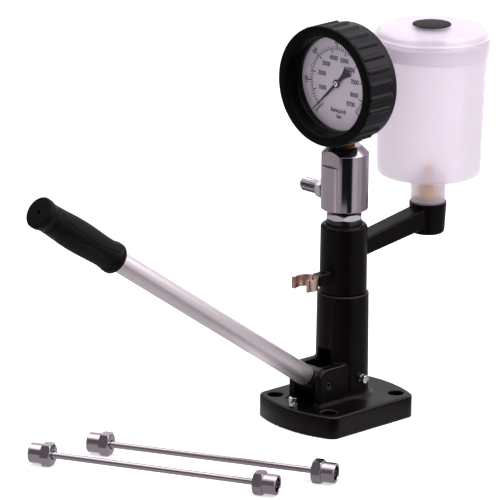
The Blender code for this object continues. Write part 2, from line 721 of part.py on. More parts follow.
def lever_clip():
    outline = thicken(clip_outline(), CLIP_THICKNESS)
    place = (0, CLIP_Y, CLIP_HEIGHT)
    clip = piece("lever_clip", prism(outline, -CLIP_BAND / 2, CLIP_BAND / 2), "spring_bronze", at=place)
    hole = cylinder(CLIP_SCREW_RADIUS + GAP, 0, clip_inner_radius() + CLIP_THICKNESS + OVERRUN, SMALL_ROUND)
    boolean(clip, "DIFFERENCE", "hole", hole, place, ALONG_PLUS_Y)

    # A round head sits inside the ring, and its shank runs back into the pad
    seat = clip_inner_radius() - GAP
    head = [
        (0, seat - CLIP_SCREW_HEAD),
        (CLIP_SCREW_HEAD_RADIUS / 2, seat - CLIP_SCREW_HEAD),
        (CLIP_SCREW_HEAD_RADIUS, seat - CLIP_SCREW_HEAD / 2),
        (CLIP_SCREW_HEAD_RADIUS, seat - CLIP_THICKNESS / 2),
        (CLIP_SCREW_RADIUS, seat - CLIP_THICKNESS / 2),
        (CLIP_SCREW_RADIUS, seat + CLIP_SCREW_LENGTH),
        (0, seat + CLIP_SCREW_LENGTH),
    ]
    piece("clip_screw", turned(head, SMALL_ROUND), "zinc", at=place, turn=ALONG_PLUS_Y)


def lever_crank(axis):
    """Eye, tube spigot and inner arm in one casting, with the nose that lifts the crosshead."""
    eye = cylinder(EYE_RADIUS, -EYE_HALF_WIDTH, EYE_HALF_WIDTH)
    crank = piece("lever_crank", eye, "black_paint", axis, turn=ALONG_PLUS_X)
    spigot = TUBE_RADIUS - TUBE_WALL - GAP
    spigot_end = TUBE_START + SPIGOT_LENGTH
    boolean(crank, "UNION", "spigot", cylinder(spigot, 0, spigot_end, SMALL_ROUND), turn=ALONG_MINUS_Y)

    bend = LEVER_ANGLE + NOSE_LIFT
    outline = [
        (0, -ARM_ROOT_HALF_DEPTH),
        (NOSE_REACH, -ARM_NOSE_HALF_DEPTH),
        (NOSE_REACH, ARM_NOSE_HALF_DEPTH),
        (0, ARM_ROOT_HALF_DEPTH),
    ]
    boolean(crank, "UNION", "arm", side_prism(outline, NOSE_HALF_WIDTH), turn=(bend, 0, 0))
    nose_at = (0, NOSE_REACH * math.cos(bend), NOSE_REACH * math.sin(bend))
    nose = cylinder(NOSE_RADIUS, -NOSE_HALF_WIDTH, NOSE_HALF_WIDTH, SMALL_ROUND)
    boolean(crank, "UNION", "nose", nose, nose_at, ALONG_PLUS_X)
    hole = cylinder(PIVOT_PIN_RADIUS + GAP, -EYE_HALF_WIDTH - OVERRUN, EYE_HALF_WIDTH + OVERRUN, SMALL_ROUND)
    boolean(crank, "DIFFERENCE", "pin_hole", hole, turn=ALONG_PLUS_X)


def grip_radius(share):
    """Outline of the grip: flared flange, waist, belly, neck and end flange, joined by half waves."""
    stations = [
        (0, GRIP_FLANGE_RADIUS),
        (GRIP_FLANGE_SHARE, GRIP_FLANGE_RADIUS),
        (GRIP_INNER_WAIST_SHARE, GRIP_WAIST_RADIUS),
        (GRIP_BELLY_SHARE, GRIP_BELLY_RADIUS),
        (GRIP_NECK_SHARE, GRIP_NECK_RADIUS),
        (1 - GRIP_FLANGE_SHARE, GRIP_END_RADIUS),
        (1, GRIP_END_RADIUS),
    ]
    for (share_a, radius_a), (share_b, radius_b) in zip(stations, stations[1:]):
        if share <= share_b:
            blend = (share - share_a) / (share_b - share_a)
            blend = (1 - math.cos(math.pi * blend)) / 2
            return radius_a + (radius_b - radius_a) * blend
    return GRIP_END_RADIUS


def lever_grip(axis):
    """A sleeve with a closed end, whose side has shallow lobes that wind a little round it."""
    length = GRIP_END - GRIP_START
    outside = [
        (grip_radius(i / GRIP_RINGS), GRIP_START + length * i / GRIP_RINGS) for i in range(GRIP_RINGS, -1, -1)
    ]
    inner = TUBE_RADIUS + GAP
    end_hole = [(GRIP_HOLE_RADIUS, GRIP_END), *outside, (inner, GRIP_START)]
    inside = [(inner, GRIP_END - GRIP_COVER), (GRIP_HOLE_RADIUS, GRIP_END - GRIP_COVER)]
    bm = turned(end_hole + inside)
    for vert in bm.verts:
        radius = math.hypot(vert.co.x, vert.co.y)
        if radius < TUBE_RADIUS + TUBE_WALL:
            continue
        share = (vert.co.z - GRIP_START) / length
        sculpt = math.sin(math.pi * share) ** 2
        angle = math.atan2(vert.co.y, vert.co.x) + share
        scale = 1 - GRIP_LOBE_DEPTH / radius * sculpt * (1 - math.cos(GRIP_LOBES * angle)) / 2
        vert.co.x *= scale
        vert.co.y *= scale
    piece("lever_grip", bm, "rubber", axis, turn=ALONG_MINUS_Y)


def lever():
    """The lever's pieces hang on an empty at the pivot, turned to the angle at rest."""
    axis = empty("lever_axis", (0, PIVOT_Y, PIVOT_HEIGHT), (-LEVER_ANGLE, 0, 0))
    lever_crank(axis)
    tube_end = GRIP_END - GRIP_COVER - GAP
    tube_mesh = tube(TUBE_RADIUS, TUBE_RADIUS - TUBE_WALL, TUBE_START, tube_end)
    piece("lever_tube", tube_mesh, "aluminium", axis, turn=ALONG_MINUS_Y)
    lever_grip(axis)

    half = CHEEK_OUTER
    pin = [
        (PIVOT_PIN_RADIUS - PIVOT_PIN_CHAMFER, half),
        (PIVOT_PIN_RADIUS, half - PIVOT_PIN_CHAMFER),
        (PIVOT_PIN_RADIUS, PIVOT_PIN_CHAMFER - half),
        (PIVOT_PIN_RADIUS - PIVOT_PIN_CHAMFER, -half),
        (PIVOT_PIN_BORE, -half),
        (PIVOT_PIN_BORE, half),
    ]
    place = (0, PIVOT_Y, PIVOT_HEIGHT)
    piece("pivot_pin", turned(pin, SMALL_ROUND), "dark_steel", at=place, turn=ALONG_PLUS_X)


def crosshead(axis, nose_height):
    """A guided block. The lever's nose works between its jaws, which open wide towards the lever."""
    foot = -NOSE_RADIUS - JAW_BOTTOM_ROOM - JAW_BOTTOM_WALL
    crown = NOSE_RADIUS + JAW_TOP_ROOM + CROSSHEAD_CROWN
    radius = CROSSHEAD_BORE_RADIUS - GAP
    block = piece("crosshead", cylinder(radius, foot, crown), "dark_steel", axis)

    top_jaw = NOSE_RADIUS + JAW_TOP_ROOM
    bottom_jaw = -NOSE_RADIUS - JAW_BOTTOM_ROOM
    flare = radius - JAW_FRONT + OVERRUN
    spread = flare * math.tan(JAW_SLOPE)
    mouth = [
        (JAW_BACK, bottom_jaw),
        (JAW_BACK, top_jaw),
        (-JAW_FRONT, top_jaw),
        (-JAW_FRONT - flare, top_jaw + spread),
        (-JAW_FRONT - flare, bottom_jaw - spread),
        (-JAW_FRONT, bottom_jaw),
    ]
    boolean(block, "DIFFERENCE", "mouth", side_prism(mouth, WINDOW_HALF_WIDTH))
    seat = cylinder(PLUNGER_RADIUS + GAP, crown - PLUNGER_SEAT_DEPTH, crown + OVERRUN, SMALL_ROUND)
    boolean(block, "DIFFERENCE", "seat", seat)
    pin_at = (0, 0, crown - PLUNGER_SEAT_DEPTH / 2)
    pin_hole = cylinder(PLUNGER_PIN_RADIUS + GAP, -radius - OVERRUN, radius + OVERRUN, SMALL_ROUND)
    boolean(block, "DIFFERENCE", "pin_hole", pin_hole, pin_at, ALONG_PLUS_X)

    plunger_foot = crown - PLUNGER_SEAT_DEPTH + GAP
    plunger_top = PLUNGER_TOP - nose_height
    rod = cylinder(PLUNGER_RADIUS, plunger_foot, plunger_top, SMALL_ROUND)
    rod = piece("plunger", rod, "bright_steel", axis)
    rod_hole = cylinder(PLUNGER_PIN_RADIUS + GAP, -radius, radius, SMALL_ROUND)
    boolean(rod, "DIFFERENCE", "pin_hole", rod_hole, pin_at, ALONG_PLUS_X)
    pin = cylinder(PLUNGER_PIN_RADIUS, -PLUNGER_PIN_HALF_LENGTH, PLUNGER_PIN_HALF_LENGTH, SMALL_ROUND)
    piece("plunger_pin", pin, "bright_steel", axis, pin_at, ALONG_PLUS_X)


def pump():
    nose_height = PIVOT_HEIGHT + NOSE_REACH * math.sin(NOSE_LIFT)
    crosshead(empty("plunger_axis", (0, 0, nose_height)), nose_height)

    bore = PLUNGER_RADIUS + GAP
    packing_top = BARREL_BOTTOM + PACKING_DEPTH
    groove = BARREL_RADIUS - INLET_GROOVE_DEPTH
    collar_foot = HOUSING_TOP - COLLAR_DEPTH + GAP
    profile = [
        (NECK_RADIUS, NECK_TOP),
        (NECK_RADIUS, COLLAR_TOP),
        (COLLAR_RADIUS, COLLAR_TOP),
        (COLLAR_RADIUS, collar_foot),
        (BARREL_RADIUS, collar_foot),
        (BARREL_RADIUS, INLET_HEIGHT + INLET_GROOVE_HALF),
        (groove, INLET_HEIGHT + INLET_GROOVE_HALF),
        (groove, INLET_HEIGHT - INLET_GROOVE_HALF),
        (BARREL_RADIUS, INLET_HEIGHT - INLET_GROOVE_HALF),
        (BARREL_RADIUS, BARREL_BOTTOM),
        (PACKING_RADIUS, BARREL_BOTTOM),
        (PACKING_RADIUS, packing_top),
        (bore, packing_top),
        (bore, BARREL_CROWN),
        (DELIVERY_WAY_RADIUS, BARREL_CROWN),
        (DELIVERY_WAY_RADIUS, NECK_TOP),
    ]
    barrel = piece("pump_barrel", turned(profile), "dark_steel")
    port = cylinder(INLET_PORT_RADIUS, 0, BARREL_RADIUS + OVERRUN, SMALL_ROUND)
    boolean(barrel, "DIFFERENCE", "port", port, (0, 0, INLET_HEIGHT), ALONG_PLUS_Y)

    thread_radius = PACKING_RADIUS - GAP
    seal_foot = packing_top - GAP - PACKING_LENGTH
    piece("plunger_seal", tube(thread_radius, bore, seal_foot, packing_top - GAP, SMALL_ROUND), "rubber")
    gland_top = seal_foot - GAP
    head_top = BARREL_BOTTOM - GAP
    head_foot = head_top - GLAND_HEAD
    thread = [(bore, head_foot), (bore, gland_top), (thread_radius, gland_top), (thread_radius, head_top)]

    def profile_at(angle):
        return hex_side(angle, GLAND_FLATS, head_foot, head_top, (1, 0)) + thread

    piece("gland_nut", swept(profile_at, even(HEX_ROUND)), "zinc")


def valve_group():
    nut_low = COLLAR_TOP + GAP
    jam = nut(JAM_NUT_FLATS, nut_low, nut_low + JAM_NUT_HEIGHT, NECK_RADIUS + GAP, HEX_ROUND * 2)
    piece("jam_nut", jam, "zinc", turn=(0, 0, -math.pi / 4))

    seat = NECK_TOP + GAP + WASHER + GAP
    body_profile = [
        (VALVE_TOP_RADIUS, VALVE_TOP),
        (VALVE_RADIUS, VALVE_SHOULDER),
        (VALVE_RADIUS, VALVE_BOTTOM + VALVE_EDGE),
        (VALVE_RADIUS - VALVE_EDGE, VALVE_BOTTOM),
        (NECK_RADIUS + GAP, VALVE_BOTTOM),
        (NECK_RADIUS + GAP, seat),
        (VALVE_CHAMBER_RADIUS, seat),
        (VALVE_CHAMBER_RADIUS, VALVE_CHAMBER_TOP),
        (VALVE_WAY_RADIUS, VALVE_CHAMBER_TOP),
        (VALVE_WAY_RADIUS, VALVE_TOP - GAUGE_PORT_DEPTH),
        (GAUGE_PORT_RADIUS, VALVE_TOP - GAUGE_PORT_DEPTH),
        (GAUGE_PORT_RADIUS, VALVE_TOP),
    ]
    body = piece("valve_body", turned(body_profile, LARGE_ROUND), "bright_steel")
    outlet = cylinder(OUTLET_PORT_RADIUS + GAP, 0, VALVE_RADIUS + OVERRUN, SMALL_ROUND)
    boolean(body, "DIFFERENCE", "outlet", outlet, (0, 0, OUTLET_HEIGHT), ALONG_MINUS_X)
    far = VALVE_RADIUS + OVERRUN
    flat = box((-far, VALVE_FLAT_OFFSET, VALVE_FLAT_BOTTOM), (far, far, VALVE_TOP + OVERRUN))
    boolean(body, "DIFFERENCE", "front_flat", flat, turn=(0, 0, math.pi))
    flat = box((-far, VALVE_FLAT_OFFSET, VALVE_FLAT_BOTTOM), (far, far, VALVE_TOP + OVERRUN))
    boolean(body, "DIFFERENCE", "back_flat", flat)

    washer_low = NECK_TOP + GAP
    washer = tube(NECK_RADIUS - GAP, VALVE_CHAMBER_RADIUS, washer_low, washer_low + WASHER)
    piece("barrel_washer", washer, "copper")

    lift_axis = empty("delivery_valve_axis", (0, 0, NECK_TOP + GAP))
    cone = POPPET_RADIUS - DELIVERY_WAY_RADIUS
    poppet = [
        (0, POPPET_HEIGHT + POPPET_STEM),
        (POPPET_STEM_RADIUS, POPPET_HEIGHT + POPPET_STEM),
        (POPPET_STEM_RADIUS, POPPET_HEIGHT),
        (POPPET_RADIUS, POPPET_HEIGHT),
        (POPPET_RADIUS, cone),
        (DELIVERY_WAY_RADIUS, 0),
        (0, 0),
    ]
    piece("delivery_valve", turned(poppet, SMALL_ROUND), "bright_steel", lift_axis)
    spring_low = NECK_TOP + GAP + POPPET_HEIGHT + GAP + SPRING_WIRE_RADIUS
    spring("delivery_spring", spring_low, VALVE_CHAMBER_TOP - GAP - SPRING_WIRE_RADIUS)


def spring(name, low, high):
    """A coil spring along the column's axis, one unbroken wire."""
    curve = bpy.data.curves.new(name, "CURVE")
    curve.dimensions = "3D"
    curve.bevel_depth = SPRING_WIRE_RADIUS
    curve.bevel_resolution = 0
    curve.use_fill_caps = True
    steps = SPRING_TURNS * SPRING_STEPS
    line = curve.splines.new("POLY")
    line.points.add(steps)
    for i, point in enumerate(line.points):
        angle = math.tau * i / SPRING_STEPS
        height = low + (high - low) * i / steps
        point.co = (SPRING_RADIUS * math.cos(angle), SPRING_RADIUS * math.sin(angle), height, 1)
    made = bpy.data.objects.new(name, curve)
    bpy.context.scene.collection.objects.link(made)
    curve.materials.append(finish("bright_steel"))


def outlet_union():
    """A threaded stub with a hexagon, screwed into the valve body through a copper washer."""
    face = VALVE_RADIUS + GAP
    hex_low = face + WASHER + GAP
    hex_high = hex_low + UNION_HEX_THICKNESS
    place = (0, 0, OUTLET_HEIGHT)
    rest = [
        (OUTLET_PORT_RADIUS, hex_low),
        (OUTLET_PORT_RADIUS, face - OUTLET_PORT_DEPTH),
        (UNION_BORE_RADIUS, face - OUTLET_PORT_DEPTH),
        (UNION_BORE_RADIUS, UNION_TIP - UNION_CONE_RADIUS + UNION_BORE_RADIUS),
        (UNION_CONE_RADIUS, UNION_TIP),
        (UNION_THREAD_RADIUS - UNION_CHAMFER, UNION_TIP),
        (UNION_THREAD_RADIUS, UNION_TIP - UNION_CHAMFER),
        (UNION_THREAD_RADIUS, hex_high),
    ]

    def profile_at(angle):
        return hex_side(angle, UNION_FLATS, hex_low, hex_high, (0, 1)) + rest

    piece("outlet_union", swept(profile_at, even(HEX_ROUND)), "zinc", at=place, turn=ALONG_MINUS_X)
    washer = tube(UNION_FLATS / 2, OUTLET_PORT_RADIUS + GAP, face, face + WASHER, SMALL_ROUND)
    piece("union_washer", washer, "copper", at=place, turn=ALONG_MINUS_X)


def gauge_stem():
    """The brass pressure connection, from the valve body's port up into the gauge's case."""
    foot = VALVE_TOP - GAUGE_PORT_DEPTH + WASHER
    washer_low = VALVE_TOP + GAP
    hex_low = washer_low + WASHER + GAP
    thread = GAUGE_PORT_RADIUS - GAP
    neck = [(0, STEM_TOP), (STEM_RADIUS, STEM_TOP), (STEM_RADIUS, STEM_HEX_TOP)]
    rest = [(thread, hex_low), (thread, foot), (STEM_BORE_RADIUS, foot)]
    rest += [(STEM_BORE_RADIUS, STEM_TOP - STEM_RADIUS), (0, STEM_TOP - STEM_RADIUS)]

    def profile_at(angle):
        return neck + hex_side(angle, STEM_FLATS, hex_low, STEM_HEX_TOP, (0, 1)) + rest

    piece("gauge_stem", swept(profile_at, even(HEX_ROUND)), "brass")
    washer = tube(STEM_FLATS / 2, GAUGE_PORT_RADIUS, washer_low, washer_low + WASHER, SMALL_ROUND)
    piece("gauge_washer", washer, "copper")


def gauge_boot(axis):
    """A rubber guard: front ring with a dished throat, ribbed side, and a band round the back."""
    inner = CASE_RADIUS + GAP + BEZEL_SKIRT + GAP
    back_wall = CASE_BACK - GAP
    throat_back = CASE_FRONT + GAP + BEZEL_LIP + GAP
    ring_back = BOOT_FRONT - BOOT_RING_WIDTH
    front_centre = (BOOT_RING_RADIUS - BOOT_EDGE_RADIUS, BOOT_FRONT - BOOT_EDGE_RADIUS)
    back_centre = (BOOT_RADIUS - BOOT_EDGE_RADIUS, BOOT_BACK + BOOT_EDGE_RADIUS)
    profile = [
        *arc(front_centre, BOOT_EDGE_RADIUS, 90, 0, 2),
        (BOOT_RING_RADIUS, ring_back),
        (BOOT_RADIUS, ring_back - BOOT_EDGE_RADIUS),
        (BOOT_RADIUS, BOOT_BACK + BOOT_BAND_WIDTH),
        *arc(back_centre, BOOT_EDGE_RADIUS, 0, -90, 2),
        (BOOT_BACK_HOLE_RADIUS, BOOT_BACK),
        (BOOT_BACK_HOLE_RADIUS, back_wall),
        (inner, back_wall),
        (inner, throat_back),
        (BOOT_THROAT_RADIUS, throat_back),
        (BOOT_LIP_RADIUS, BOOT_FRONT - BOOT_EDGE_RADIUS),
        (BOOT_LIP_RADIUS + BOOT_EDGE_RADIUS, BOOT_FRONT),
    ]
    pitch = math.tau / BOOT_RIBS
    half = pitch * BOOT_RIB_WIDTH_SHARE / 2
    middles = [BOOT_RIB_PHASE + pitch * i for i in range(BOOT_RIBS)]
    bm = swept(lambda angle: profile, [middle + side for middle in middles for side in (-half, half)])
    low, high = BOOT_BACK + BOOT_BAND_WIDTH, ring_back - BOOT_EDGE_RADIUS
    ribs = []
    for face in bm.faces:
        centre = face.calc_center_median()
        on_side = math.hypot(centre.x, centre.y) > BOOT_RADIUS - BOOT_EDGE_RADIUS and low < centre.z < high
        off = (math.atan2(centre.y, centre.x) - BOOT_RIB_PHASE + pitch / 2) % pitch - pitch / 2
        if on_side and abs(off) < half:
            ribs.append(face)
    for face in bmesh.ops.extrude_discrete_faces(bm, faces=ribs)["faces"]:
        middle = face.calc_center_median()
        outward = Vector((middle.x, middle.y, 0)).normalized()
        for vert in face.verts:
            crown = (vert.co - middle) * BOOT_RIB_CROWN_SHARE
            vert.co = middle + crown + outward * BOOT_RIB_HEIGHT
    boot = piece("gauge_boot", bm, "rubber", axis, turn=ALONG_MINUS_Y)
    hole = cylinder(BOOT_STEM_HOLE_RADIUS, -BOOT_RING_RADIUS - BOOT_RIB_HEIGHT - OVERRUN, 0, SMALL_ROUND)
    boolean(boot, "DIFFERENCE", "stem_hole", hole)


def gauge_case(axis):
    shell = [
        (0, CASE_BACK + CASE_WALL),
        (CASE_RADIUS - CASE_WALL, CASE_BACK + CASE_WALL),
        (CASE_RADIUS - CASE_WALL, CASE_FRONT),
        (CASE_RADIUS, CASE_FRONT),
        (CASE_RADIUS, CASE_BACK),
        (0, CASE_BACK),
    ]
    case = piece("gauge_case", turned(shell, LARGE_ROUND), "black_paint", axis, turn=ALONG_MINUS_Y)
    hole = cylinder(STEM_RADIUS + GAP, -CASE_RADIUS - OVERRUN, 0, SMALL_ROUND)
    boolean(case, "DIFFERENCE", "stem_hole", hole)


def gauge_front(axis):
    """Dial, gasket, lens and bezel, stacked in the mouth of the case."""
    fit = CASE_RADIUS - CASE_WALL - GAP
    dial = tube(fit, DIAL_HOLE_RADIUS, DIAL_FACE - DIAL_THICKNESS, DIAL_FACE, LARGE_ROUND)
    piece("gauge_dial", dial, "dial_white", axis, turn=ALONG_MINUS_Y)
    lens_back = CASE_FRONT - LENS_THICKNESS
    gasket = tube(fit, OPENING_RADIUS, DIAL_FACE + GAP, lens_back - GAP, LARGE_ROUND)
    piece("gauge_gasket", gasket, "rubber", axis, turn=ALONG_MINUS_Y)
    lens = cylinder(fit, lens_back, CASE_FRONT, LARGE_ROUND)
    piece("gauge_lens", lens, "glass", axis, turn=ALONG_MINUS_Y)
    skirt_inner = CASE_RADIUS + GAP
    skirt_outer = skirt_inner + BEZEL_SKIRT
    lip_back = CASE_FRONT + GAP
    lip_front = lip_back + BEZEL_LIP
    bezel = turned(
        [
            (skirt_outer, lip_front),
            (skirt_outer, DIAL_FACE),
            (skirt_inner, DIAL_FACE),
            (skirt_inner, lip_back),
            (OPENING_RADIUS, lip_back),
            (OPENING_RADIUS, lip_front),
        ],
        LARGE_ROUND,
    )
    piece("gauge_bezel", bezel, "black_paint", axis, turn=ALONG_MINUS_Y)


def toothed(teeth, kept, rest, turn):
    """Plan of a gear's kept teeth about the origin, centred on a direction, closed by the other points."""
    pitch = TOOTH_MODULE * teeth / 2
    tip = pitch + TOOTH_MODULE * TOOTH_ADDENDUM_SHARE
    root = pitch - TOOTH_MODULE * TOOTH_DEDENDUM_SHARE
    step = math.tau / teeth
    half_root, half_tip = TOOTH_ROOT_SHARE * step, TOOTH_TIP_SHARE * step
    flank = [(root, -half_root), (tip, -half_tip), (tip, half_tip), (root, half_root)]
    points = []
    for i in range(kept):
        middle = turn + step * (i - (kept - 1) / 2)
        points += [(r * math.cos(middle + off), r * math.sin(middle + off)) for r, off in flank]
    return points + rest


def pointer(axis):
    """A tapering needle whose tail flares like a fishtail, pressed on the arbor that the sector turns."""
    eye = math.degrees(math.asin(POINTER_ROOT / POINTER_EYE_RADIUS))
    upper = [(POINTER_LENGTH, POINTER_TIP), *arc((0, 0), POINTER_EYE_RADIUS, eye, 180 - eye, 4)]
    upper += [(-POINTER_TAIL * along, POINTER_TAIL_HALF_WIDTH * out) for along, out in POINTER_TAIL_SHARES]
    lower = [(x, -y) for x, y in reversed(upper)]
    outline = upper + [(-POINTER_TAIL - POINTER_TAIL_CROWN, 0)] + lower
    needle = prism(outline, POINTER_BACK, POINTER_BACK + POINTER_THICKNESS)
    bmesh.ops.rotate(needle, cent=(0, 0, 0), matrix=Matrix.Rotation(REST_ANGLE, 3, "Z"), verts=needle.verts)
    needle = piece("gauge_pointer", needle, "black_paint", axis, turn=ALONG_MINUS_Y)
    hole = cylinder(ARBOR_RADIUS + GAP, 0, CASE_FRONT, SMALL_ROUND)
    boolean(needle, "DIFFERENCE", "eye", hole, turn=ALONG_MINUS_Y)

    head_low = POINTER_BACK + POINTER_THICKNESS + GAP
    shaft = [
        (0, head_low + ARBOR_HEAD),
        (ARBOR_HEAD_RADIUS / 2, head_low + ARBOR_HEAD),
        (ARBOR_HEAD_RADIUS, head_low + ARBOR_HEAD / 2),
        (ARBOR_HEAD_RADIUS, head_low),
        (ARBOR_RADIUS, head_low),
        (ARBOR_RADIUS, ARBOR_BACK),
        (0, ARBOR_BACK),
    ]
    arbor = piece("pointer_arbor", turned(shaft, SMALL_ROUND), "brass", axis, turn=ALONG_MINUS_Y)
    low = SECTOR_BACK - PINION_HALF_OVERHANG
    high = SECTOR_BACK + SECTOR_THICKNESS + PINION_HALF_OVERHANG
    pinion = prism(toothed(PINION_TEETH, PINION_TEETH, [], 0), low, high)
    boolean(arbor, "UNION", "pinion", pinion, turn=ALONG_MINUS_Y)


def sector_distance():
    return TOOTH_MODULE * (PINION_TEETH + SECTOR_TEETH) / 2


def movement(axis):
    """The sector hangs below the arbor, between two brass plates on pillars that stand on the case's back."""
    below = sector_distance()
    sector_axis = empty("sector_axis", (0, 0, -below))
    sector_axis.parent = axis
    # At zero pressure the sector leans half its sweep to the right, so that a tooth stands below the arbor
    lean = math.pi / 2 - POINTER_SWEEP / 2 * PINION_TEETH / SECTOR_TEETH
    hub = arc((0, 0), SECTOR_HUB_RADIUS, math.degrees(lean) + 120, math.degrees(lean) + 240, 6)
    outline = toothed(SECTOR_TEETH, SECTOR_TEETH_KEPT, hub, lean)
    plan = prism(outline, SECTOR_BACK, SECTOR_BACK + SECTOR_THICKNESS)
    sector = piece("sector_gear", plan, "brass", sector_axis, turn=ALONG_MINUS_Y)
    hole = cylinder(SECTOR_PIN_RADIUS + GAP, 0, DIAL_FACE, SMALL_ROUND)
    boolean(sector, "DIFFERENCE", "pin_hole", hole, turn=ALONG_MINUS_Y)

    half = FRAME_WIDTH / 2
    top = FRAME_MARGIN
    bottom = -below - FRAME_MARGIN
    back_low = CASE_BACK + CASE_WALL + GAP
    front = box((-half, bottom, FRAME_FRONT), (half, top, FRAME_FRONT + FRAME_PLATE))
    frame = piece("movement_frame", front, "brass", axis, turn=ALONG_MINUS_Y)
    back = box((-half, bottom, FRAME_BACK), (half, top, FRAME_BACK + FRAME_PLATE))
    boolean(frame, "UNION", "back_plate", back, turn=ALONG_MINUS_Y)
    inset = PILLAR_RADIUS * 1.5
    for i, x in enumerate((inset - half, half - inset)):
        for j, y in enumerate((bottom + inset, top - inset)):
            pillar = cylinder(PILLAR_RADIUS, back_low, FRAME_FRONT + FRAME_PLATE / 2, FINE_ROUND)
            bmesh.ops.translate(pillar, verts=pillar.verts, vec=(x, y, 0))
            boolean(frame, "UNION", f"pillar_{i}{j}", pillar, turn=ALONG_MINUS_Y)
    pin = cylinder(SECTOR_PIN_RADIUS, FRAME_BACK, FRAME_FRONT + FRAME_PLATE / 2, SMALL_ROUND)
    bmesh.ops.translate(pin, verts=pin.verts, vec=(0, -below, 0))
    boolean(frame, "UNION", "sector_pin", pin, turn=ALONG_MINUS_Y)
    hole = cylinder(ARBOR_RADIUS + GAP, 0, DIAL_FACE, SMALL_ROUND)
    boolean(frame, "DIFFERENCE", "arbor_hole", hole, turn=ALONG_MINUS_Y)


def bourdon_tube(axis):
    """The pressure element: a C of tube that starts at the stem and goes most of the way round the case."""
    curve = bpy.data.curves.new("bourdon_tube", "CURVE")
    curve.dimensions = "3D"
    curve.bevel_depth = BOURDON_TUBE_RADIUS
    curve.bevel_resolution = 1
    curve.use_fill_caps = True
    line = curve.splines.new("POLY")
    line.points.add(BOURDON_POINTS)
    start = math.asin((STEM_RADIUS + GAP) / (BOURDON_RADIUS - BOURDON_TUBE_RADIUS)) - math.pi / 2
    for i, point in enumerate(line.points):
        angle = start + BOURDON_SWEEP * i / BOURDON_POINTS
        point.co = (BOURDON_RADIUS * math.cos(angle), BOURDON_RADIUS * math.sin(angle), BOURDON_DEPTH, 1)
    made = bpy.data.objects.new("bourdon_tube", curve)
    made.parent = axis
    made.rotation_euler = ALONG_MINUS_Y
    bpy.context.scene.collection.objects.link(made)
    curve.materials.append(finish("brass"))


def gauge():
    axis = empty("gauge_axis", (0, 0, GAUGE_HEIGHT), (0, 0, GAUGE_TURN))
    gauge_stem()
    gauge_boot(axis)
    gauge_case(axis)
    gauge_front(axis)
    pointer(axis)
    movement(axis)
    bourdon_tube(axis)


def tank():
    """A blow-moulded pot with a skirt under its floor, which stands in the arm's cup."""
    place = (0, ARM_REACH, 0)
    corner = (TANK_BOTTOM_RADIUS - TANK_CORNER_RADIUS, TANK_BOTTOM + TANK_CORNER_RADIUS)
    seal_low = BOSS_TOP - CUP_DEPTH + GAP
    skirt_foot = seal_low + SEAL_THICKNESS + GAP
    skirt_inner = SKIRT_RADIUS - TANK_WALL
    shank = FITTING_SHANK_RADIUS + GAP
    profile = [
        (TANK_TOP_RADIUS, TANK_TOP),
        *arc(corner, TANK_CORNER_RADIUS, 0, -90),
        (SKIRT_RADIUS, TANK_BOTTOM),
        (SKIRT_RADIUS, skirt_foot),
        (skirt_inner, skirt_foot),
        (skirt_inner, TANK_BOTTOM),
        (shank, TANK_BOTTOM),
        (shank, TANK_BOTTOM + TANK_WALL),
        *arc(corner, TANK_CORNER_RADIUS - TANK_WALL, -90, 0, 2),
        (TANK_TOP_RADIUS - TANK_WALL, TANK_TOP),
    ]
    piece("tank", turned(profile, LARGE_ROUND), "milky_plastic", at=place)
    seal = tube(SKIRT_RADIUS, FITTING_NECK_RADIUS + GAP, seal_low, seal_low + SEAL_THICKNESS)
    piece("tank_seal", seal, "red_rubber", at=place)


def tank_lid():
    place = (0, ARM_REACH, 0)
    lid_axis = empty("lid_axis", place)
    inner_top = LID_TOP - LID_WALL
    edge = (LID_FLAT_RADIUS, LID_TOP - LID_EDGE_RADIUS)
    rim = TANK_TOP_RADIUS + GAP
    socket_inner = SOCKET_RADIUS - LID_WALL
    profile = [
        (socket_inner, LID_TOP),
        *arc(edge, LID_EDGE_RADIUS, 90, 0),
        (LID_BEAD_RADIUS - LID_WALL, LID_BEAD_HEIGHT),
        (LID_BEAD_RADIUS, LID_BEAD_HEIGHT - LID_WALL),
        (LID_SKIRT_RADIUS, LID_SKIRT_BOTTOM),
        (rim, LID_SKIRT_BOTTOM),
        (rim, TANK_TOP + GAP),
        (TANK_TOP_RADIUS - TANK_WALL, TANK_TOP + GAP),
        *arc(edge, LID_EDGE_RADIUS - LID_WALL, 0, 90, 2),
        (SOCKET_RADIUS, inner_top),
        (SOCKET_RADIUS, SOCKET_BOTTOM),
        (socket_inner, SOCKET_BOTTOM),
    ]
    piece("tank_lid", turned(profile, LARGE_ROUND), "milky_plastic", lid_axis)

    cap_axis = empty("cap_axis", (0, 0, LID_TOP + GAP))
    cap_axis.parent = lid_axis
    plug = socket_inner - GAP
    cap = turned(
        [
            (0, CAP_HEIGHT),
            *arc((CAP_RADIUS - CAP_EDGE_RADIUS, CAP_HEIGHT - CAP_EDGE_RADIUS), CAP_EDGE_RADIUS, 90, 0, 3),
            (CAP_RADIUS, 0),
            (plug, 0),
            (plug, -CAP_PLUG_DEPTH),
            (plug - CAP_PLUG_WALL, -CAP_PLUG_DEPTH),
            (plug - CAP_PLUG_WALL, CAP_HEIGHT / 2),
            (0, CAP_HEIGHT / 2),
        ]
    )
    piece("vent_cap", cap, "rubber", cap_axis)


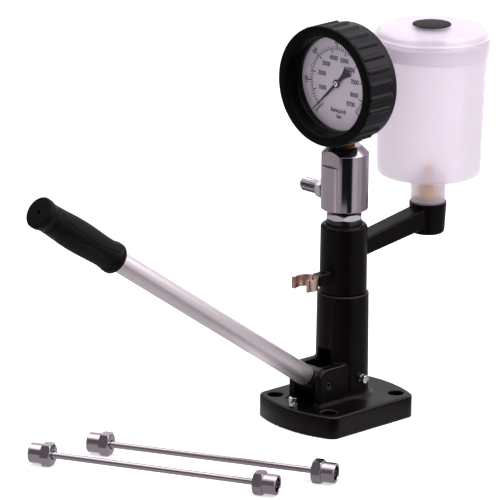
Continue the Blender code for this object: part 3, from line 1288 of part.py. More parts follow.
def tank_fitting():
    """A brass nipple, screwed into the arm and through the reservoir's floor."""
    place = (0, ARM_REACH, 0)
    foot = BOSS_TOP - CUP_DEPTH - FITTING_THREAD_DEPTH + GAP
    shoulder = BOSS_TOP - CUP_DEPTH + GAP
    upper = [
        (FITTING_BORE_RADIUS, FITTING_TOP),
        (FITTING_SHANK_RADIUS, FITTING_TOP),
        (FITTING_SHANK_RADIUS, FITTING_CONE_TOP),
        (FITTING_NECK_RADIUS, FITTING_HEX_TOP),
    ]
    lower = [
        (FITTING_NECK_RADIUS, FITTING_HEX_BOTTOM),
        (FITTING_NECK_RADIUS, shoulder),
        (FITTING_THREAD_RADIUS, shoulder),
        (FITTING_THREAD_RADIUS, foot),
        (FITTING_BORE_RADIUS, foot),
    ]

    def profile(angle):
        return upper + hex_side(angle, FITTING_FLATS, FITTING_HEX_BOTTOM, FITTING_HEX_TOP) + lower

    piece("tank_fitting", swept(profile, even(HEX_ROUND)), "brass", at=place)


def screw(name, tip, nut_face, head_low, at, turn):
    """A hexagon screw along its own Z with a lock nut that bears on the casting."""
    head_top = head_low + SCREW_HEAD
    shank = [(SCREW_RADIUS, head_low), (SCREW_RADIUS, tip), (0, tip)]

    def profile(angle):
        return [(0, head_top)] + hex_side(angle, SCREW_FLATS, head_low, head_top, (0, 1)) + shank

    piece(name, swept(profile, even(SMALL_ROUND)), "zinc", at=at, turn=turn)
    low = nut_face + GAP
    piece(f"{name}_nut", nut(SCREW_FLATS, low, low + SCREW_NUT, SCREW_RADIUS + GAP), "zinc", at=at, turn=turn)


def small_screws():
    stop_head = STOP_SCREW_TOP - SCREW_HEAD
    screw("stop_screw", stop_head - STOP_SCREW_DEPTH, PLATE_THICKNESS, stop_head, (0, STOP_Y, 0), (0, 0, 0))
    share = (SIDE_SCREW_HEIGHT - PLATE_THICKNESS) / (COLUMN_STEP_HEIGHT - PLATE_THICKNESS)
    wall = COLUMN_FOOT_RADIUS + (COLUMN_STEP_RADIUS - COLUMN_FOOT_RADIUS) * share
    side = (0, 0, SIDE_SCREW_HEIGHT)
    screw("side_screw", SIDE_SCREW_TIP, wall, SIDE_SCREW_HEAD_AT, side, ALONG_PLUS_X)


def union_nut(name, axis, end):
    """A nut whose hexagon faces the pipe and whose round sleeve opens outwards, at the pipe's end 1 or -1."""
    mouth = PIPE_LENGTH / 2
    hex_low = mouth - UNION_NUT_LENGTH
    hex_high = hex_low + UNION_NUT_HEX
    turn = ALONG_PLUS_X if end > 0 else ALONG_MINUS_X
    bore = PIPE_RADIUS + GAP
    floor = hex_low + UNION_NUT_FLOOR
    sleeve = [
        (UNION_NUT_MOUTH_RADIUS, floor),
        (UNION_NUT_MOUTH_RADIUS, mouth),
        (UNION_NUT_SLEEVE_RADIUS - UNION_NUT_CHAMFER, mouth),
        (UNION_NUT_SLEEVE_RADIUS, mouth - UNION_NUT_CHAMFER),
        (UNION_NUT_SLEEVE_RADIUS, hex_high),
    ]

    def profile(angle):
        return sleeve + hex_side(angle, UNION_NUT_FLATS, hex_low, hex_high) + [(bore, hex_low), (bore, floor)]

    piece(name, swept(profile, even(HEX_ROUND)), "bright_steel", axis, turn=turn)


def test_pipe(name, centre, turn):
    """A steel pipe with a collar and a sealing cone at each end, lying on its union nuts."""
    axis = empty(f"{name}_axis", (*centre, UNION_NUT_FLATS / 2), (0, 0, turn))
    tip = PIPE_LENGTH / 2 - PIPE_END_INSET
    cone_root = tip - PIPE_CONE_LENGTH
    collar_root = cone_root - PIPE_COLLAR_LENGTH
    half = [
        (PIPE_RADIUS, tip),
        (PIPE_CONE_RADIUS, cone_root),
        (PIPE_CONE_RADIUS, collar_root),
        (PIPE_RADIUS, collar_root),
    ]
    other = [(radius, -along) for radius, along in reversed(half)]
    profile = half + other + [(PIPE_BORE_RADIUS, -tip), (PIPE_BORE_RADIUS, tip)]
    piece(name, turned(profile, SMALL_ROUND), "bright_steel", axis, turn=ALONG_PLUS_X)
    union_nut(f"{name}_left_nut", axis, -1)
    union_nut(f"{name}_right_nut", axis, 1)


def main():
    clear_scene()
    base_casting()
    pump_housing()
    lever_clip()
    lever()
    pump()
    valve_group()
    outlet_union()
    gauge()
    tank()
    tank_lid()
    tank_fitting()
    small_screws()
    test_pipe("test_pipe_front", PIPE_FRONT_CENTRE, PIPE_FRONT_TURN)
    test_pipe("test_pipe_rear", PIPE_REAR_CENTRE, PIPE_REAR_TURN)


main()
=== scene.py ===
"""The looks of the diesel injector tester: smooth pieces, finishes, a plain studio and the camera."""

import json
import math

import bmesh
import bpy
import numpy as np
from mathutils import Matrix, Vector


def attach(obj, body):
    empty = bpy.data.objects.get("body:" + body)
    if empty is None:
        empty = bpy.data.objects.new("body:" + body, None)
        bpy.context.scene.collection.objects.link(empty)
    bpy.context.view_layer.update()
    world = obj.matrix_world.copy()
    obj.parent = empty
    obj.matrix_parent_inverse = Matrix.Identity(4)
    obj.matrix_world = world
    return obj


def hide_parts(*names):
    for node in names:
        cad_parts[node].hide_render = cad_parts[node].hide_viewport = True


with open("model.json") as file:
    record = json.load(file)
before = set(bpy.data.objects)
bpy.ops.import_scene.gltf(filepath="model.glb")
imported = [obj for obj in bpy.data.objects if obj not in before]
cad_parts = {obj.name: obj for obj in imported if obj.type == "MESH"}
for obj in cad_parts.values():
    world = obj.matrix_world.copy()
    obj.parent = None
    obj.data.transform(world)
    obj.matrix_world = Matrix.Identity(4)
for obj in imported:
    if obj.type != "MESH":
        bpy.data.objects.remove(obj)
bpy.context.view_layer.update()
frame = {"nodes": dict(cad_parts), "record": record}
bpy.context.scene.view_settings.view_transform = "Standard"

MM = 0.001
BIG_ROUND, ROUND, SMALL_ROUND = 128, 96, 48  # sides of a turned piece
NUT_ROUND = 72  # a multiple of 6, so that a hexagon's corners fall on it
WELD = 0.0005  # mm, closer points are one point
LEVER_RISE = 33.9  # degrees that the lever stands up from level in the photograph
GAUGE_TURN = 3.4  # degrees that the gauge is turned on its stem


# ---------------------------------------------------------------- places, all in mm


def shift(x=0, y=0, z=0):
    return Matrix.Translation((x, y, z))


def turn(degrees, axis):
    return Matrix.Rotation(math.radians(degrees), 4, axis)


COLUMN = Matrix.Identity(4)
RESERVOIR = shift(y=118.6)
GAUGE = shift(z=343.4) @ turn(GAUGE_TURN, "Z") @ turn(90, "X")
ACROSS = turn(90, "Z") @ turn(90, "X")  # lays a piece that stands on Z along the hinge, with its top to the right
HINGE = shift(y=-39, z=43.6)
LEVER = HINGE @ turn(90 - LEVER_RISE, "X")
PIVOT = HINGE @ ACROSS
OUTLET = shift(z=228) @ turn(-90, "Z") @ turn(90, "X")
SIDE_SCREW = shift(z=44.5) @ ACROSS
STOP_SCREW = shift(y=-67)
CLIP = shift(y=-50.5, z=147.3)
PIPES = {
    "front": shift(21, -272.5, 10.8) @ turn(26.2 + 90, "Z") @ turn(90, "X"),
    "rear": shift(34.5, -208.8, 10.8) @ turn(26.8 + 90, "Z") @ turn(90, "X"),
}


# ---------------------------------------------------------------- finishes


def bare_tree(owner):
    """The empty node tree of a new material or world."""
    owner.use_nodes = True
    owner.node_tree.nodes.clear()
    return owner.node_tree


def linear(shade):
    """An sRGB hex value as the linear colour that a shader takes."""
    parts = [int(shade[i : i + 2], 16) / 255 for i in (1, 3, 5)]
    return (*(p / 12.92 if p <= 0.04045 else ((p + 0.055) / 1.055) ** 2.4 for p in parts), 1)


def add(tree, kind, settings=(), links=()):
    """Adds a node. A setting is an input, by name or number, or else a property of the node."""
    node = tree.nodes.new(kind)
    for key, value in dict(settings).items():
        if isinstance(key, int) or key in node.inputs:
            node.inputs[key].default_value = value
        else:
            setattr(node, key, value)
    for key, socket in dict(links).items():
        tree.links.new(socket, node.inputs[key])
    return node


def finish(
    name,
    shade,
    patch_shade,
    roughness,
    metallic=0.0,
    patch=20.0,
    lay=(1, 1, 1),
    grain=1.0,
    grain_height=0.02,
    worn_and_highlit=None,
    spread=0.12,
    **sockets,
):
    """A surface of one shade that drifts to another in patches, with a grain in its roughness and relief.

    patch, grain and grain_height are sizes in mm. lay stretches the grain along an axis where it is under 1. The
    roughness keeps within spread. The shade for wear goes on edges that jut out and face upwards, both as wear on
    the paint and as a painted highlight, and other keywords are the shader's sockets.
    """
    material = bpy.data.materials.new(name)
    tree = bare_tree(material)
    where = add(tree, "ShaderNodeTexCoord").outputs["Object"]
    stretched = add(tree, "ShaderNodeMapping", {"Scale": lay}, {"Vector": where}).outputs[0]
    patches, fine = (
        add(
            tree, "ShaderNodeTexNoise", {"Scale": 1 / (size * MM), "Detail": detail, "Roughness": octave},
            {"Vector": vector},
        ).outputs["Fac"]
        for size, detail, octave, vector in ((patch, 3.0, 0.6, where), (grain, 2.0, 0.5, stretched))
    )
    colour = add(
        tree, "ShaderNodeMix", {"data_type": "RGBA", 6: linear(shade), 7: linear(patch_shade)}, {0: patches}
    ).outputs[2]
    if worn_and_highlit:
        # Painted highlight and wear: an edge that sticks out and looks upwards is made lighter, as wear on the paint
        # and as light caught from above
        surface = add(tree, "ShaderNodeNewGeometry").outputs
        upward = add(tree, "ShaderNodeSeparateXYZ", {}, {0: surface["Normal"]}).outputs[2]
        jutting, on_top = (
            add(tree, "ShaderNodeMapRange", {"From Min": least, "From Max": most}, {"Value": value}).outputs[0]
            for least, most, value in ((0.52, 0.58, surface["Pointiness"]), (0.15, 0.6, upward))
        )
        rubbed_and_highlit = add(tree, "ShaderNodeMath", {"operation": "MULTIPLY"}, {0: jutting, 1: on_top}).outputs[0]
        colour = add(
            tree, "ShaderNodeMix", {"data_type": "RGBA", 7: linear(worn_and_highlit)}, {0: rubbed_and_highlit, 6: colour}
        ).outputs[2]
    drift = add(tree, "ShaderNodeMath", {"operation": "ADD"}, {0: patches, 1: fine}).outputs[0]
    rough = add(
        tree,
        "ShaderNodeMapRange",
        {"From Min": 0.6, "From Max": 1.4, "To Min": roughness - spread / 2, "To Max": roughness + spread / 2},
        {"Value": drift},
    ).outputs[0]
    relief = add(
        tree, "ShaderNodeBump", {"Strength": 1.0, "Distance": grain_height * MM}, {"Height": fine}
    ).outputs[0]
    shader = add(
        tree,
        "ShaderNodeBsdfPrincipled",
        {"Metallic": metallic, **{key.replace("_", " "): value for key, value in sockets.items()}},
        {"Base Color": colour, "Roughness": rough, "Normal": relief},
    )
    add(tree, "ShaderNodeOutputMaterial", {}, {"Surface": shader.outputs[0]})
    return material


# Grains finer than about 0.4 mm would not show, so those of the metals, rubbers and inks are drawn that coarse

# Cast iron under satin enamel: nearly black, with a faint orange peel, and jutting upward edges painted lighter, both
# as wear on the paint and as a painted highlight
ENAMEL = finish(
    "satin_black_enamel_on_cast_iron", "#040303", "#0a0607", 0.34, patch=30, grain=1.6, grain_height=0.03,
    worn_and_highlit="#6a6064", Specular_IOR_Level=0.09, Specular_Tint=(1.0, 0.82, 0.88, 1.0),
)
# Turned steel under bright nickel: grey mirror, softened by the lathe's rings, drawn coarser than life to show
TURNED_NICKEL = finish(
    "bright_nickel_on_turned_steel", "#b3a8b1", "#a69aa4", 0.15, 1.0, patch=35, lay=(0.05, 0.05, 1), grain=0.5,
    grain_height=0.004, spread=0.06,
)
# Zinc plate: pale blue-grey metal with soft mottling and a slight frost
ZINC = finish(
    "bright_zinc_plate", "#d6d3d9", "#b9b5bd", 0.18, 1.0, patch=6, grain=0.6, grain_height=0.006,
)
# Drawn aluminium tube, satin: broad soft highlight with streaks along its length
DRAWN_ALUMINIUM = finish(
    "satin_drawn_aluminium", "#f0e4eb", "#e4d8df", 0.46, 1.0, patch=60, lay=(1, 0.04, 0.06), grain=0.7,
    grain_height=0.006, spread=0.08,
)
# Moulded rubber of the gauge's guard: slate black with a dull sheen
GUARD_RUBBER = finish(
    "moulded_guard_rubber", "#0a080d", "#100d14", 0.34, patch=18, grain=0.9, grain_height=0.02,
    Specular_IOR_Level=0.2, Specular_Tint=(1.0, 0.88, 1.0, 1.0),
)
# The guard's face and inner wall are moulded smooth, and their colour is painted blacker than the ribbed side's, as
# shade on the face and in the recess
LIP_RUBBER_SHADED = finish(
    "smooth_black_rubber_painted_shade", "#050505", "#080708", 0.4, patch=16, grain=0.8, grain_height=0.01,
    Specular_IOR_Level=0.06,
)
# Moulded grip rubber: black and close-grained, so that it barely shines
GRIP_RUBBER = finish(
    "moulded_grip_rubber", "#070405", "#0c0809", 0.46, patch=14, grain=0.7, grain_height=0.02,
    Specular_IOR_Level=0.1,
)
# The grip's palm panels are textured finer and look a little greyer
PANEL_RUBBER = finish(
    "textured_panel_rubber", "#110d0f", "#181315", 0.6, patch=10, grain=0.5, grain_height=0.05,
    Specular_IOR_Level=0.1,
)
# Vent cap moulding: brown-black plastic with a soft shine
CAP_PLASTIC = finish(
    "moulded_cap_plastic", "#160f12", "#1d1519", 0.5, patch=12, grain=0.8, grain_height=0.015,
    Specular_IOR_Level=0.08,
)
# Free-machining brass: warm yellow, cut bright and then a little dulled
BRASS = finish("machined_brass", "#ffd27c", "#f0bd66", 0.4, 1.0, patch=8, grain=0.5, grain_height=0.005)
# The hub is nickelled over brass, so that it looks pale
PALE_BRASS = finish("nickelled_brass", "#c9bcb4", "#b5a8a2", 0.25, 1.0, patch=3, grain=0.4, grain_height=0.004)
# Annealed copper washers: salmon brown and dull
COPPER = finish("annealed_copper", "#9b5a3c", "#7c4631", 0.34, 1.0, patch=5, grain=0.5, grain_height=0.006)
# Phosphor bronze strip: brown-pink, rolled smooth
SPRING_BRONZE = finish(
    "rolled_spring_bronze", "#e0bfb2", "#b8988b", 0.32, 1.0, patch=7, lay=(1, 1, 0.2), grain=0.6,
    grain_height=0.006,
)
# Oiled tool steel of the parts inside the pump
DARK_STEEL = finish("oiled_tool_steel", "#4a4648", "#3a3638", 0.34, 1.0, patch=10, grain=0.6, grain_height=0.006)
# Blow-moulded natural polyethylene: milky, waxy, and it lets light through
MILKY_PLASTIC = finish(
    "natural_polyethylene", "#f2e6f3", "#ede0ef", 0.42, patch=60, grain=3.0, grain_height=0.02, spread=0.06,
    IOR=1.5, Transmission_Weight=0.5, Alpha=0.52,
)
# Dial card: pale grey lacquer on tinned plate
DIAL_LACQUER = finish(
    "pale_dial_lacquer", "#b2a6b7", "#aa9eaf", 0.5, patch=40, grain=0.6, grain_height=0.004,
)
# Screen-printed ink: soft black without shine
INK = finish("screen_printed_ink", "#0e0b10", "#1a151d", 0.6, patch=3, grain=0.5, grain_height=0.004)
# Lacquer of the pointer: dead black, so that it reads clearly against the dial
POINTER_BLACK = finish(
    "matt_black_pointer_lacquer", "#040304", "#080608", 0.6, patch=4, grain=0.5, grain_height=0.004,
    Specular_IOR_Level=0.05,
)
# Float glass of the gauge's window. Its IOR is under that of glass, because the photographed one barely mirrors
WINDOW_GLASS = finish(
    "clear_window_glass", "#ffffff", "#fafafa", 0.03, patch=50, grain=8, grain_height=0.001, spread=0.02,
    IOR=1.25, Transmission_Weight=1.0,
)
# Nitrile sealing disc: dull grey rubber
SEAL_RUBBER = finish("grey_nitrile", "#8f8486", "#83787b", 0.55, patch=6, grain=0.6, grain_height=0.02)

BY_SLOT = {
    "black_paint": ENAMEL,
    "zinc": ZINC,
    "bright_steel": TURNED_NICKEL,
    "dark_steel": DARK_STEEL,
    "aluminium": DRAWN_ALUMINIUM,
    "brass": BRASS,
    "copper": COPPER,
    "spring_bronze": SPRING_BRONZE,
    "rubber": GUARD_RUBBER,
    "milky_plastic": MILKY_PLASTIC,
    "dial_white": DIAL_LACQUER,
    "glass": WINDOW_GLASS,
    "red_rubber": SEAL_RUBBER,
}
for part in frame["record"]["subparts"]:
    solid = frame["nodes"][part["node"]]
    solid.data.materials.clear()
    solid.data.materials.append(BY_SLOT[part["material_slot"]])


# ---------------------------------------------------------------- shaping, all in mm


def arc(centre, radius, start, end, steps=8):
    """Points of an arc, between two angles in degrees."""
    angles = [math.radians(start + (end - start) * i / steps) for i in range(steps + 1)]
    return [(centre[0] + radius * math.cos(a), centre[1] + radius * math.sin(a)) for a in angles]


def turned(profile, steps=ROUND, sweep=math.tau):
    """A profile of (radius, height) points turned about Z. It closes on itself or on the axis."""
    bm = bmesh.new()
    verts = [bm.verts.new((radius, 0, height)) for radius, height in profile]
    edges = [bm.edges.new(pair) for pair in zip(verts, verts[1:])]
    if profile[0][0] > 0 and profile[-1][0] > 0:
        edges.append(bm.edges.new((verts[-1], verts[0])))
    whole = sweep == math.tau
    bmesh.ops.spin(
        bm, geom=verts + edges, cent=(0, 0, 0), axis=(0, 0, 1), angle=sweep, steps=steps, use_merge=whole
    )
    bmesh.ops.remove_doubles(bm, verts=bm.verts, dist=WELD)
    bmesh.ops.recalc_face_normals(bm, faces=bm.faces)
    return bm


def slab(outline, low, high):
    """An outline in plan, drawn up from one height to another."""
    bm = bmesh.new()
    face = bm.faces.new([bm.verts.new((x, y, low)) for x, y in outline])
    raised = bmesh.ops.extrude_face_region(bm, geom=[face])["geom"]
    moved = [item for item in raised if isinstance(item, bmesh.types.BMVert)]
    bmesh.ops.translate(bm, verts=moved, vec=(0, 0, high - low))
    bmesh.ops.recalc_face_normals(bm, faces=bm.faces)
    return bm


def side_slab(outline, half_width):
    """An outline in side view, as (y, z) points, drawn out to both sides."""
    bm = slab(outline, -half_width, half_width)
    return placed(bm, ACROSS)


def block(low, high):
    """A box between two corners, to cut or to join with."""
    return slab([(low[0], low[1]), (high[0], low[1]), (high[0], high[1]), (low[0], high[1])], low[2], high[2])


def rod(radius, low, high, steps=SMALL_ROUND):
    """A round bar on Z, to cut or to join with."""
    return turned([(0, low), (radius, low), (radius, high), (0, high)], steps)


def washer(outer, inner, low, high, rounding=0.3, steps=SMALL_ROUND):
    return soften(turned([(outer, low), (outer, high), (inner, high), (inner, low)], steps), rounding)


def soften(bm, width, steps=2, angle=30, test=None):
    """Rounds each edge that is sharper than an angle, in degrees, and passes the test."""
    sharp = [
        edge
        for edge in bm.edges
        if edge.is_manifold
        and edge.calc_face_angle() > math.radians(angle)
        and (test is None or all(test(vert.co) for vert in edge.verts))
    ]
    bmesh.ops.bevel(
        bm, geom=sharp, offset=width, segments=steps, affect="EDGES", profile=0.5, material=-1, clamp_overlap=True
    )
    return bm


def placed(bm, place):
    bmesh.ops.transform(bm, matrix=place, verts=bm.verts)
    return bm


def in_scene(name, bm):
    """An object of the finished mesh."""
    mesh = bpy.data.meshes.new(name)
    bm.to_mesh(mesh)
    bm.free()
    made = bpy.data.objects.new(name, mesh)
    bpy.context.scene.collection.objects.link(made)
    return made


def worked(made, *tools):
    """The mesh of a throwaway object with its modifiers done."""
    result = bmesh.new()
    result.from_mesh(made.evaluated_get(bpy.context.evaluated_depsgraph_get()).to_mesh())
    for used in (made, *tools):
        mesh = used.data
        bpy.data.objects.remove(used)
        bpy.data.meshes.remove(mesh)
    return result


def combined(bm, operation, others):
    """Unites a solid with others, or takes them away."""
    made = in_scene("blank", bm)
    tools = [in_scene("tool", other) for other in others]
    for tool in tools:
        change = made.modifiers.new(operation, "BOOLEAN")
        change.operation, change.object, change.solver = operation, tool, "EXACT"
    return worked(made, *tools)


def cast(bm, skin, passes):
    """Gives a solid the soft corners of a sand casting: a skin of even cells, then fettled smooth."""
    made = in_scene("casting", bm)
    cells = made.modifiers.new("skin", "REMESH")
    cells.mode, cells.voxel_size = "VOXEL", skin
    fettle = made.modifiers.new("fettle", "SMOOTH")
    fettle.iterations, fettle.factor = passes, 0.5
    return worked(made)


def hexagon(across_flats, low, high, ends=(1, 1), rows=5):
    """Profile of a turned blank for a hexagon, from its high end to its low end, each chamfered if marked 1."""
    inner, corner = across_flats * 0.485, across_flats / math.sqrt(3)
    drop = (corner - inner) * math.tan(math.radians(30))
    chamfer = [(inner + (corner - inner) * i / rows, drop * i / rows) for i in range(rows + 1)]
    top = [(r, high - d) for r, d in chamfer] if ends[1] else [(corner, high)]
    bottom = [(r, low + d) for r, d in reversed(chamfer)] if ends[0] else [(corner, low)]
    return top + bottom


def milled(bm, across_flats, low, high):
    """Takes a turned blank down to a hexagon between two heights, with a corner on +X."""
    half = across_flats / 2
    for vert in bm.verts:
        if low - WELD <= vert.co.z <= high + WELD:
            radius = math.hypot(vert.co.x, vert.co.y)
            angle = math.atan2(vert.co.y, vert.co.x) % (math.pi / 3) - math.pi / 6
            if radius > half / math.cos(angle):
                vert.co.xy *= half / math.cos(angle) / radius
    return bm


def thread(radius, low, high, pitch):
    """Profile of a threaded shank from its low end up: crests and roots, with a lead at each end."""
    root = radius - 0.54 * pitch
    crests = max(1, int((high - low) / pitch))
    step = (high - low) / crests
    points = [(root, low)]
    for z in (low + step * i for i in range(crests)):
        points += [(radius, z + step * 0.44), (radius, z + step * 0.56), (root, z + step)]
    return points


def show(name, bm, place, body, look, slot, *nodes, sharp=32, panel=None):
    """Makes a piece: in place, in metres, smooth but for its sharp edges, riding its body.

    Where look is two finishes, panel says of a face whether it takes the second.
    """
    placed(bm, Matrix.Scale(MM, 4) @ place)
    for face in bm.faces:
        face.smooth = True
        if panel is not None:
            face.material_index = int(panel(face))
    for edge in bm.edges:
        edge.smooth = not (edge.is_manifold and edge.calc_face_angle() > math.radians(sharp))
    made = in_scene(name, bm)
    for material in look if isinstance(look, tuple) else (look,):
        made.data.materials.append(material)
    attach(made, body)
    if nodes:
        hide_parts(*nodes)
    return made


# ---------------------------------------------------------------- stand


def plate():
    """The foot plate: straight sides, crowned ends, rounded corners and a rounded upper rim."""
    half_width, half_length, end, corner, forward = 54.9, 68.3, 120, 11, 7.4
    corner_x = half_width - corner
    rise = math.sqrt((end - corner) ** 2 - corner_x**2)
    end_y = half_length - end
    tangent = math.degrees(math.atan2(rise, corner_x))
    quarter = arc((corner_x, end_y + rise), corner, 0, tangent) + arc((0, end_y), end, tangent, 90, 12)[1:]
    far_side = quarter + [(-x, y) for x, y in reversed(quarter[:-1])]
    outline = [(x, y - forward) for x, y in far_side + [(-x, -y) for x, y in far_side]]
    return soften(slab(outline, 0, 23), 1.8, 4, test=lambda co: co.z > 22)


def stand_base():
    """The lower casting: plate, column with its flared foot, and the box that the lever's eye turns in."""
    foot = [(0, 129.3), (24.8, 129.3), (25.8, 128.3), *arc((33.6, 30), 7, 180, 270), (33.6, 11.4), (0, 11.4)]
    cheeks = side_slab([(0, 11.4), (0, 60.6), *arc((-40.8, 49.6), 11, 90, 180), (-51.8, 11.4)], 22.4)
    soften(cheeks, 1.2, 2, test=lambda co: abs(co.x) > 21)
    toe = block((-24.6, -54, 20.8), (24.6, 0, 24.6))
    soften(toe, 0.8, 2, test=lambda co: co.z > 24)
    bm = combined(plate(), "UNION", [turned(foot), cheeks, toe])
    lever_box, window = block((-13.8, -56.1, 22.8), (13.8, -24.3, 62.3)), block((-8.2, -26.3, 15.5), (8.2, 0, 73.5))
    bore = rod(17.9, 2.4, 132)  # wide enough for the crosshead once the casting's inside is softened
    bolt_holes = [placed(rod(8, -2, 26), shift(38.3 * a, 46.8 * b - 8)) for a in (-1, 1) for b in (-1, 1)]
    screw_holes = [
        placed(rod(radius, low, high), place)
        for radius, low, high, place in ((3.5, -24, 24, PIVOT), (2.8, 0, 30, SIDE_SCREW), (2.8, 12.6, 26, STOP_SCREW))
    ]
    away = [lever_box, window, bore, *screw_holes, *bolt_holes]
    bm = combined(bm, "DIFFERENCE", away)
    show("stand_base", cast(bm, 1.0, 3), COLUMN, "stand", ENAMEL, "black_paint", "base_casting", sharp=80)


def stand_housing():
    """The upper casting: column, clip pad, and the arm with the boss that the reservoir stands in."""
    column = [
        (0, 199.3), (20.9, 199.3), (23.3, 196.9), (23.7, 129.6), (17.2, 129.6), (17.2, 117.6), (0, 117.6),
    ]
    arm = side_slab([(20, 163), (118.6, 176.8), (118.6, 198.2), (20, 180.9)], 10.5)
    soften(arm, 1.5, 2, test=lambda co: abs(co.x) > 10)
    boss = turned([(0, 200.6), (18.5, 200.6), (19, 200.1), *arc((14.4, 170.6), 3, 0, -90), (0, 167.6)])
    pad = block((-5.6, -38.5, 141.3), (5.6, -12, 153.3))
    soften(pad, 1, 2, test=lambda co: co.y < -38)
    bm = combined(turned(column), "UNION", [arm, placed(boss, RESERVOIR), pad])
    bore = turned([(0, 202), (17.9, 202), (17.9, 193.3), (15.3, 193.3), (15.3, 115), (0, 115)])
    cup = turned([(0, 203), (18, 203), (18, 198.4), (6.8, 198.4), (6.8, 184.4), (0, 184.4)])
    screw_hole = placed(rod(1.9, -2, 11), shift(y=-38.5, z=147.3) @ turn(-90, "X"))
    bm = combined(bm, "DIFFERENCE", [bore, placed(cup, RESERVOIR), screw_hole])
    show("stand_housing", cast(bm, 0.8, 4), COLUMN, "stand", ENAMEL, "black_paint", "pump_housing", sharp=80)


def screw(name, place, thread_low, thread_high, head_low, nut_low, *nodes):
    """An M5 hexagon screw with its lock nut."""
    flats, radius, pitch = 8, 2.5, 0.8
    head_high, nut_high = head_low + 3.6, nut_low + 4
    head = [(0, head_high), *hexagon(flats, head_low, head_high, (0, 1)), (radius, head_low)]
    shank = list(reversed(thread(radius, thread_low, thread_high, pitch)))
    bolt = milled(turned([*head, *shank, (0, thread_low)], NUT_ROUND), flats, head_low, head_high)
    show(name, bolt, place, "stand", ZINC, "zinc", nodes[0])
    ring = [*hexagon(flats, nut_low, nut_high), (2.8, nut_low), (2.8, nut_high)]
    nut = milled(turned(ring, NUT_ROUND), flats, nut_low, nut_high)
    show(f"{name}_lock_nut", nut, place @ turn(20, "Z"), "stand", ZINC, "zinc", nodes[1])


def clip_strip():
    """The spring clip: a strip rolled round the place of the raised tube, with its lips rolled outwards."""
    middle, lip, gape, curl = 11.3, 2, 45, 130  # two radii in mm, half the mouth and a lip's roll in degrees
    bm = bmesh.new()
    start = math.radians(-90 + gape)
    low = bm.verts.new((middle * math.cos(start), middle * math.sin(start), -6.6))
    high = bm.verts.new((low.co.x, low.co.y, 5.6))
    strip = bm.edges.new((low, high))
    ring = bmesh.ops.spin(
        bm, geom=[low, high, strip], cent=(0, 0, 0), axis=(0, 0, 1), angle=math.radians(360 - 2 * gape), steps=40
    )["geom_last"]
    for side, edge in ((-1, strip), (1, next(e for e in ring if isinstance(e, bmesh.types.BMEdge)))):
        way = math.radians(-90 - side * gape)
        centre = ((middle + lip) * math.cos(way), (middle + lip) * math.sin(way), 0)
        bmesh.ops.spin(
            bm, geom=[*edge.verts, edge], cent=centre, axis=(0, 0, 1), angle=math.radians(side * curl), steps=10
        )
    bmesh.ops.remove_doubles(bm, verts=bm.verts, dist=0.01)
    bmesh.ops.recalc_face_normals(bm, faces=bm.faces)
    return bm


def lever_clip():
    made = in_scene("strip", clip_strip())
    thick = made.modifiers.new("thick", "SOLIDIFY")
    thick.thickness, thick.offset = 0.8, 0
    bm = soften(worked(made), 0.2, 2, 50)
    show("lever_clip_strip", bm, CLIP, "stand", SPRING_BRONZE, "spring_bronze", "lever_clip", sharp=50)
    head = [(0, 9.7), (2.8, 9.7), (3.7, 10.2), (3.7, 10.6), (1.6, 10.6), (1.6, 19.4), (0, 19.4)]
    bm = soften(turned(head, SMALL_ROUND), 0.2)
    slot = block((-3.9, -0.4, 9.4), (3.9, 0.4, 10.05))
    bm = combined(bm, "DIFFERENCE", [slot])
    show("lever_clip_screw", bm, CLIP @ turn(-90, "X"), "stand", ZINC, "zinc", "clip_screw")


# ---------------------------------------------------------------- lever


def lever_parts():
    """The eye on the pivot pin, with the tube's spigot and the inner arm whose nose works the pump."""
    arm_rise, reach = 8, 43  # degrees and mm
    eye = placed(soften(rod(14, -13.2, 13.2, ROUND), 0.8), ACROSS)
    spigot = placed(rod(8.1, 0, 59.8), turn(90 - LEVER_RISE, "X"))
    arm = placed(side_slab([(0, -7), (reach, -2.7), (reach, 2.7), (0, 7)], 7), turn(arm_rise, "X"))
    nose = placed(rod(5.5, -7, 7), turn(arm_rise, "X") @ shift(y=reach) @ turn(-arm_rise, "X") @ ACROSS)
    hole = placed(rod(3.7, -16, 16), ACROSS)
    bm = combined(eye, "UNION", [spigot, arm, nose])
    bm = combined(bm, "DIFFERENCE", [hole])
    show("lever_eye", bm, HINGE, "lever", ENAMEL, "black_paint", "lever_crank")

    tube = soften(turned([(10.4, 14.8), (10.4, 426), (8.4, 426), (8.4, 14.8)]), 0.3)
    show("lever_handle_tube", tube, LEVER, "lever", DRAWN_ALUMINIUM, "aluminium", "lever_tube")


GRIP_LOW, GRIP_HIGH = 319.5, 431.3
GRIP_LENGTH = GRIP_HIGH - GRIP_LOW
DEGREE = math.radians(15)  # mm round the grip for each degree, where it is unrolled at a radius of 15
# The grip's outline as (share of its length from its inner end, radius)
GRIP_STATIONS = [(0, 15.6), (0.04, 15.6), (0.11, 14.4), (0.5, 15.8), (0.9, 14.3), (0.96, 15.7), (1, 15.7)]
# Panel edges as (share of the grip's length from its outer end, degrees up from the right side)
PANELS = (
    (
        (0.235, 42), (0.25, 22), (0.31, 12.5), (0.4, 8.5), (0.47, 6), (0.62, 2), (0.72, 4), (0.8, 9), (0.87, 15),
        (0.93, 20), (0.935, 60), (0.8, 74), (0.5, 80), (0.3, 72), (0.25, 60),
    ),
    (
        (0.26, -67), (0.238, -50), (0.262, -34), (0.35, -28.5), (0.455, -23), (0.56, -16.5), (0.64, -16),
        (0.73, -17.5), (0.81, -24.5), (0.9, -34), (0.93, -50), (0.92, -76), (0.6, -82), (0.35, -80),
    ),
)


def grip_radius(share):
    """The grip's radius at a share of its length, in a soft wave from station to station."""
    for (share_a, radius_a), (share_b, radius_b) in zip(GRIP_STATIONS, GRIP_STATIONS[1:]):
        if share <= share_b:
            blend = (1 - math.cos(math.pi * (share - share_a) / (share_b - share_a))) / 2
            return radius_a + (radius_b - radius_a) * blend
    return GRIP_STATIONS[-1][1]


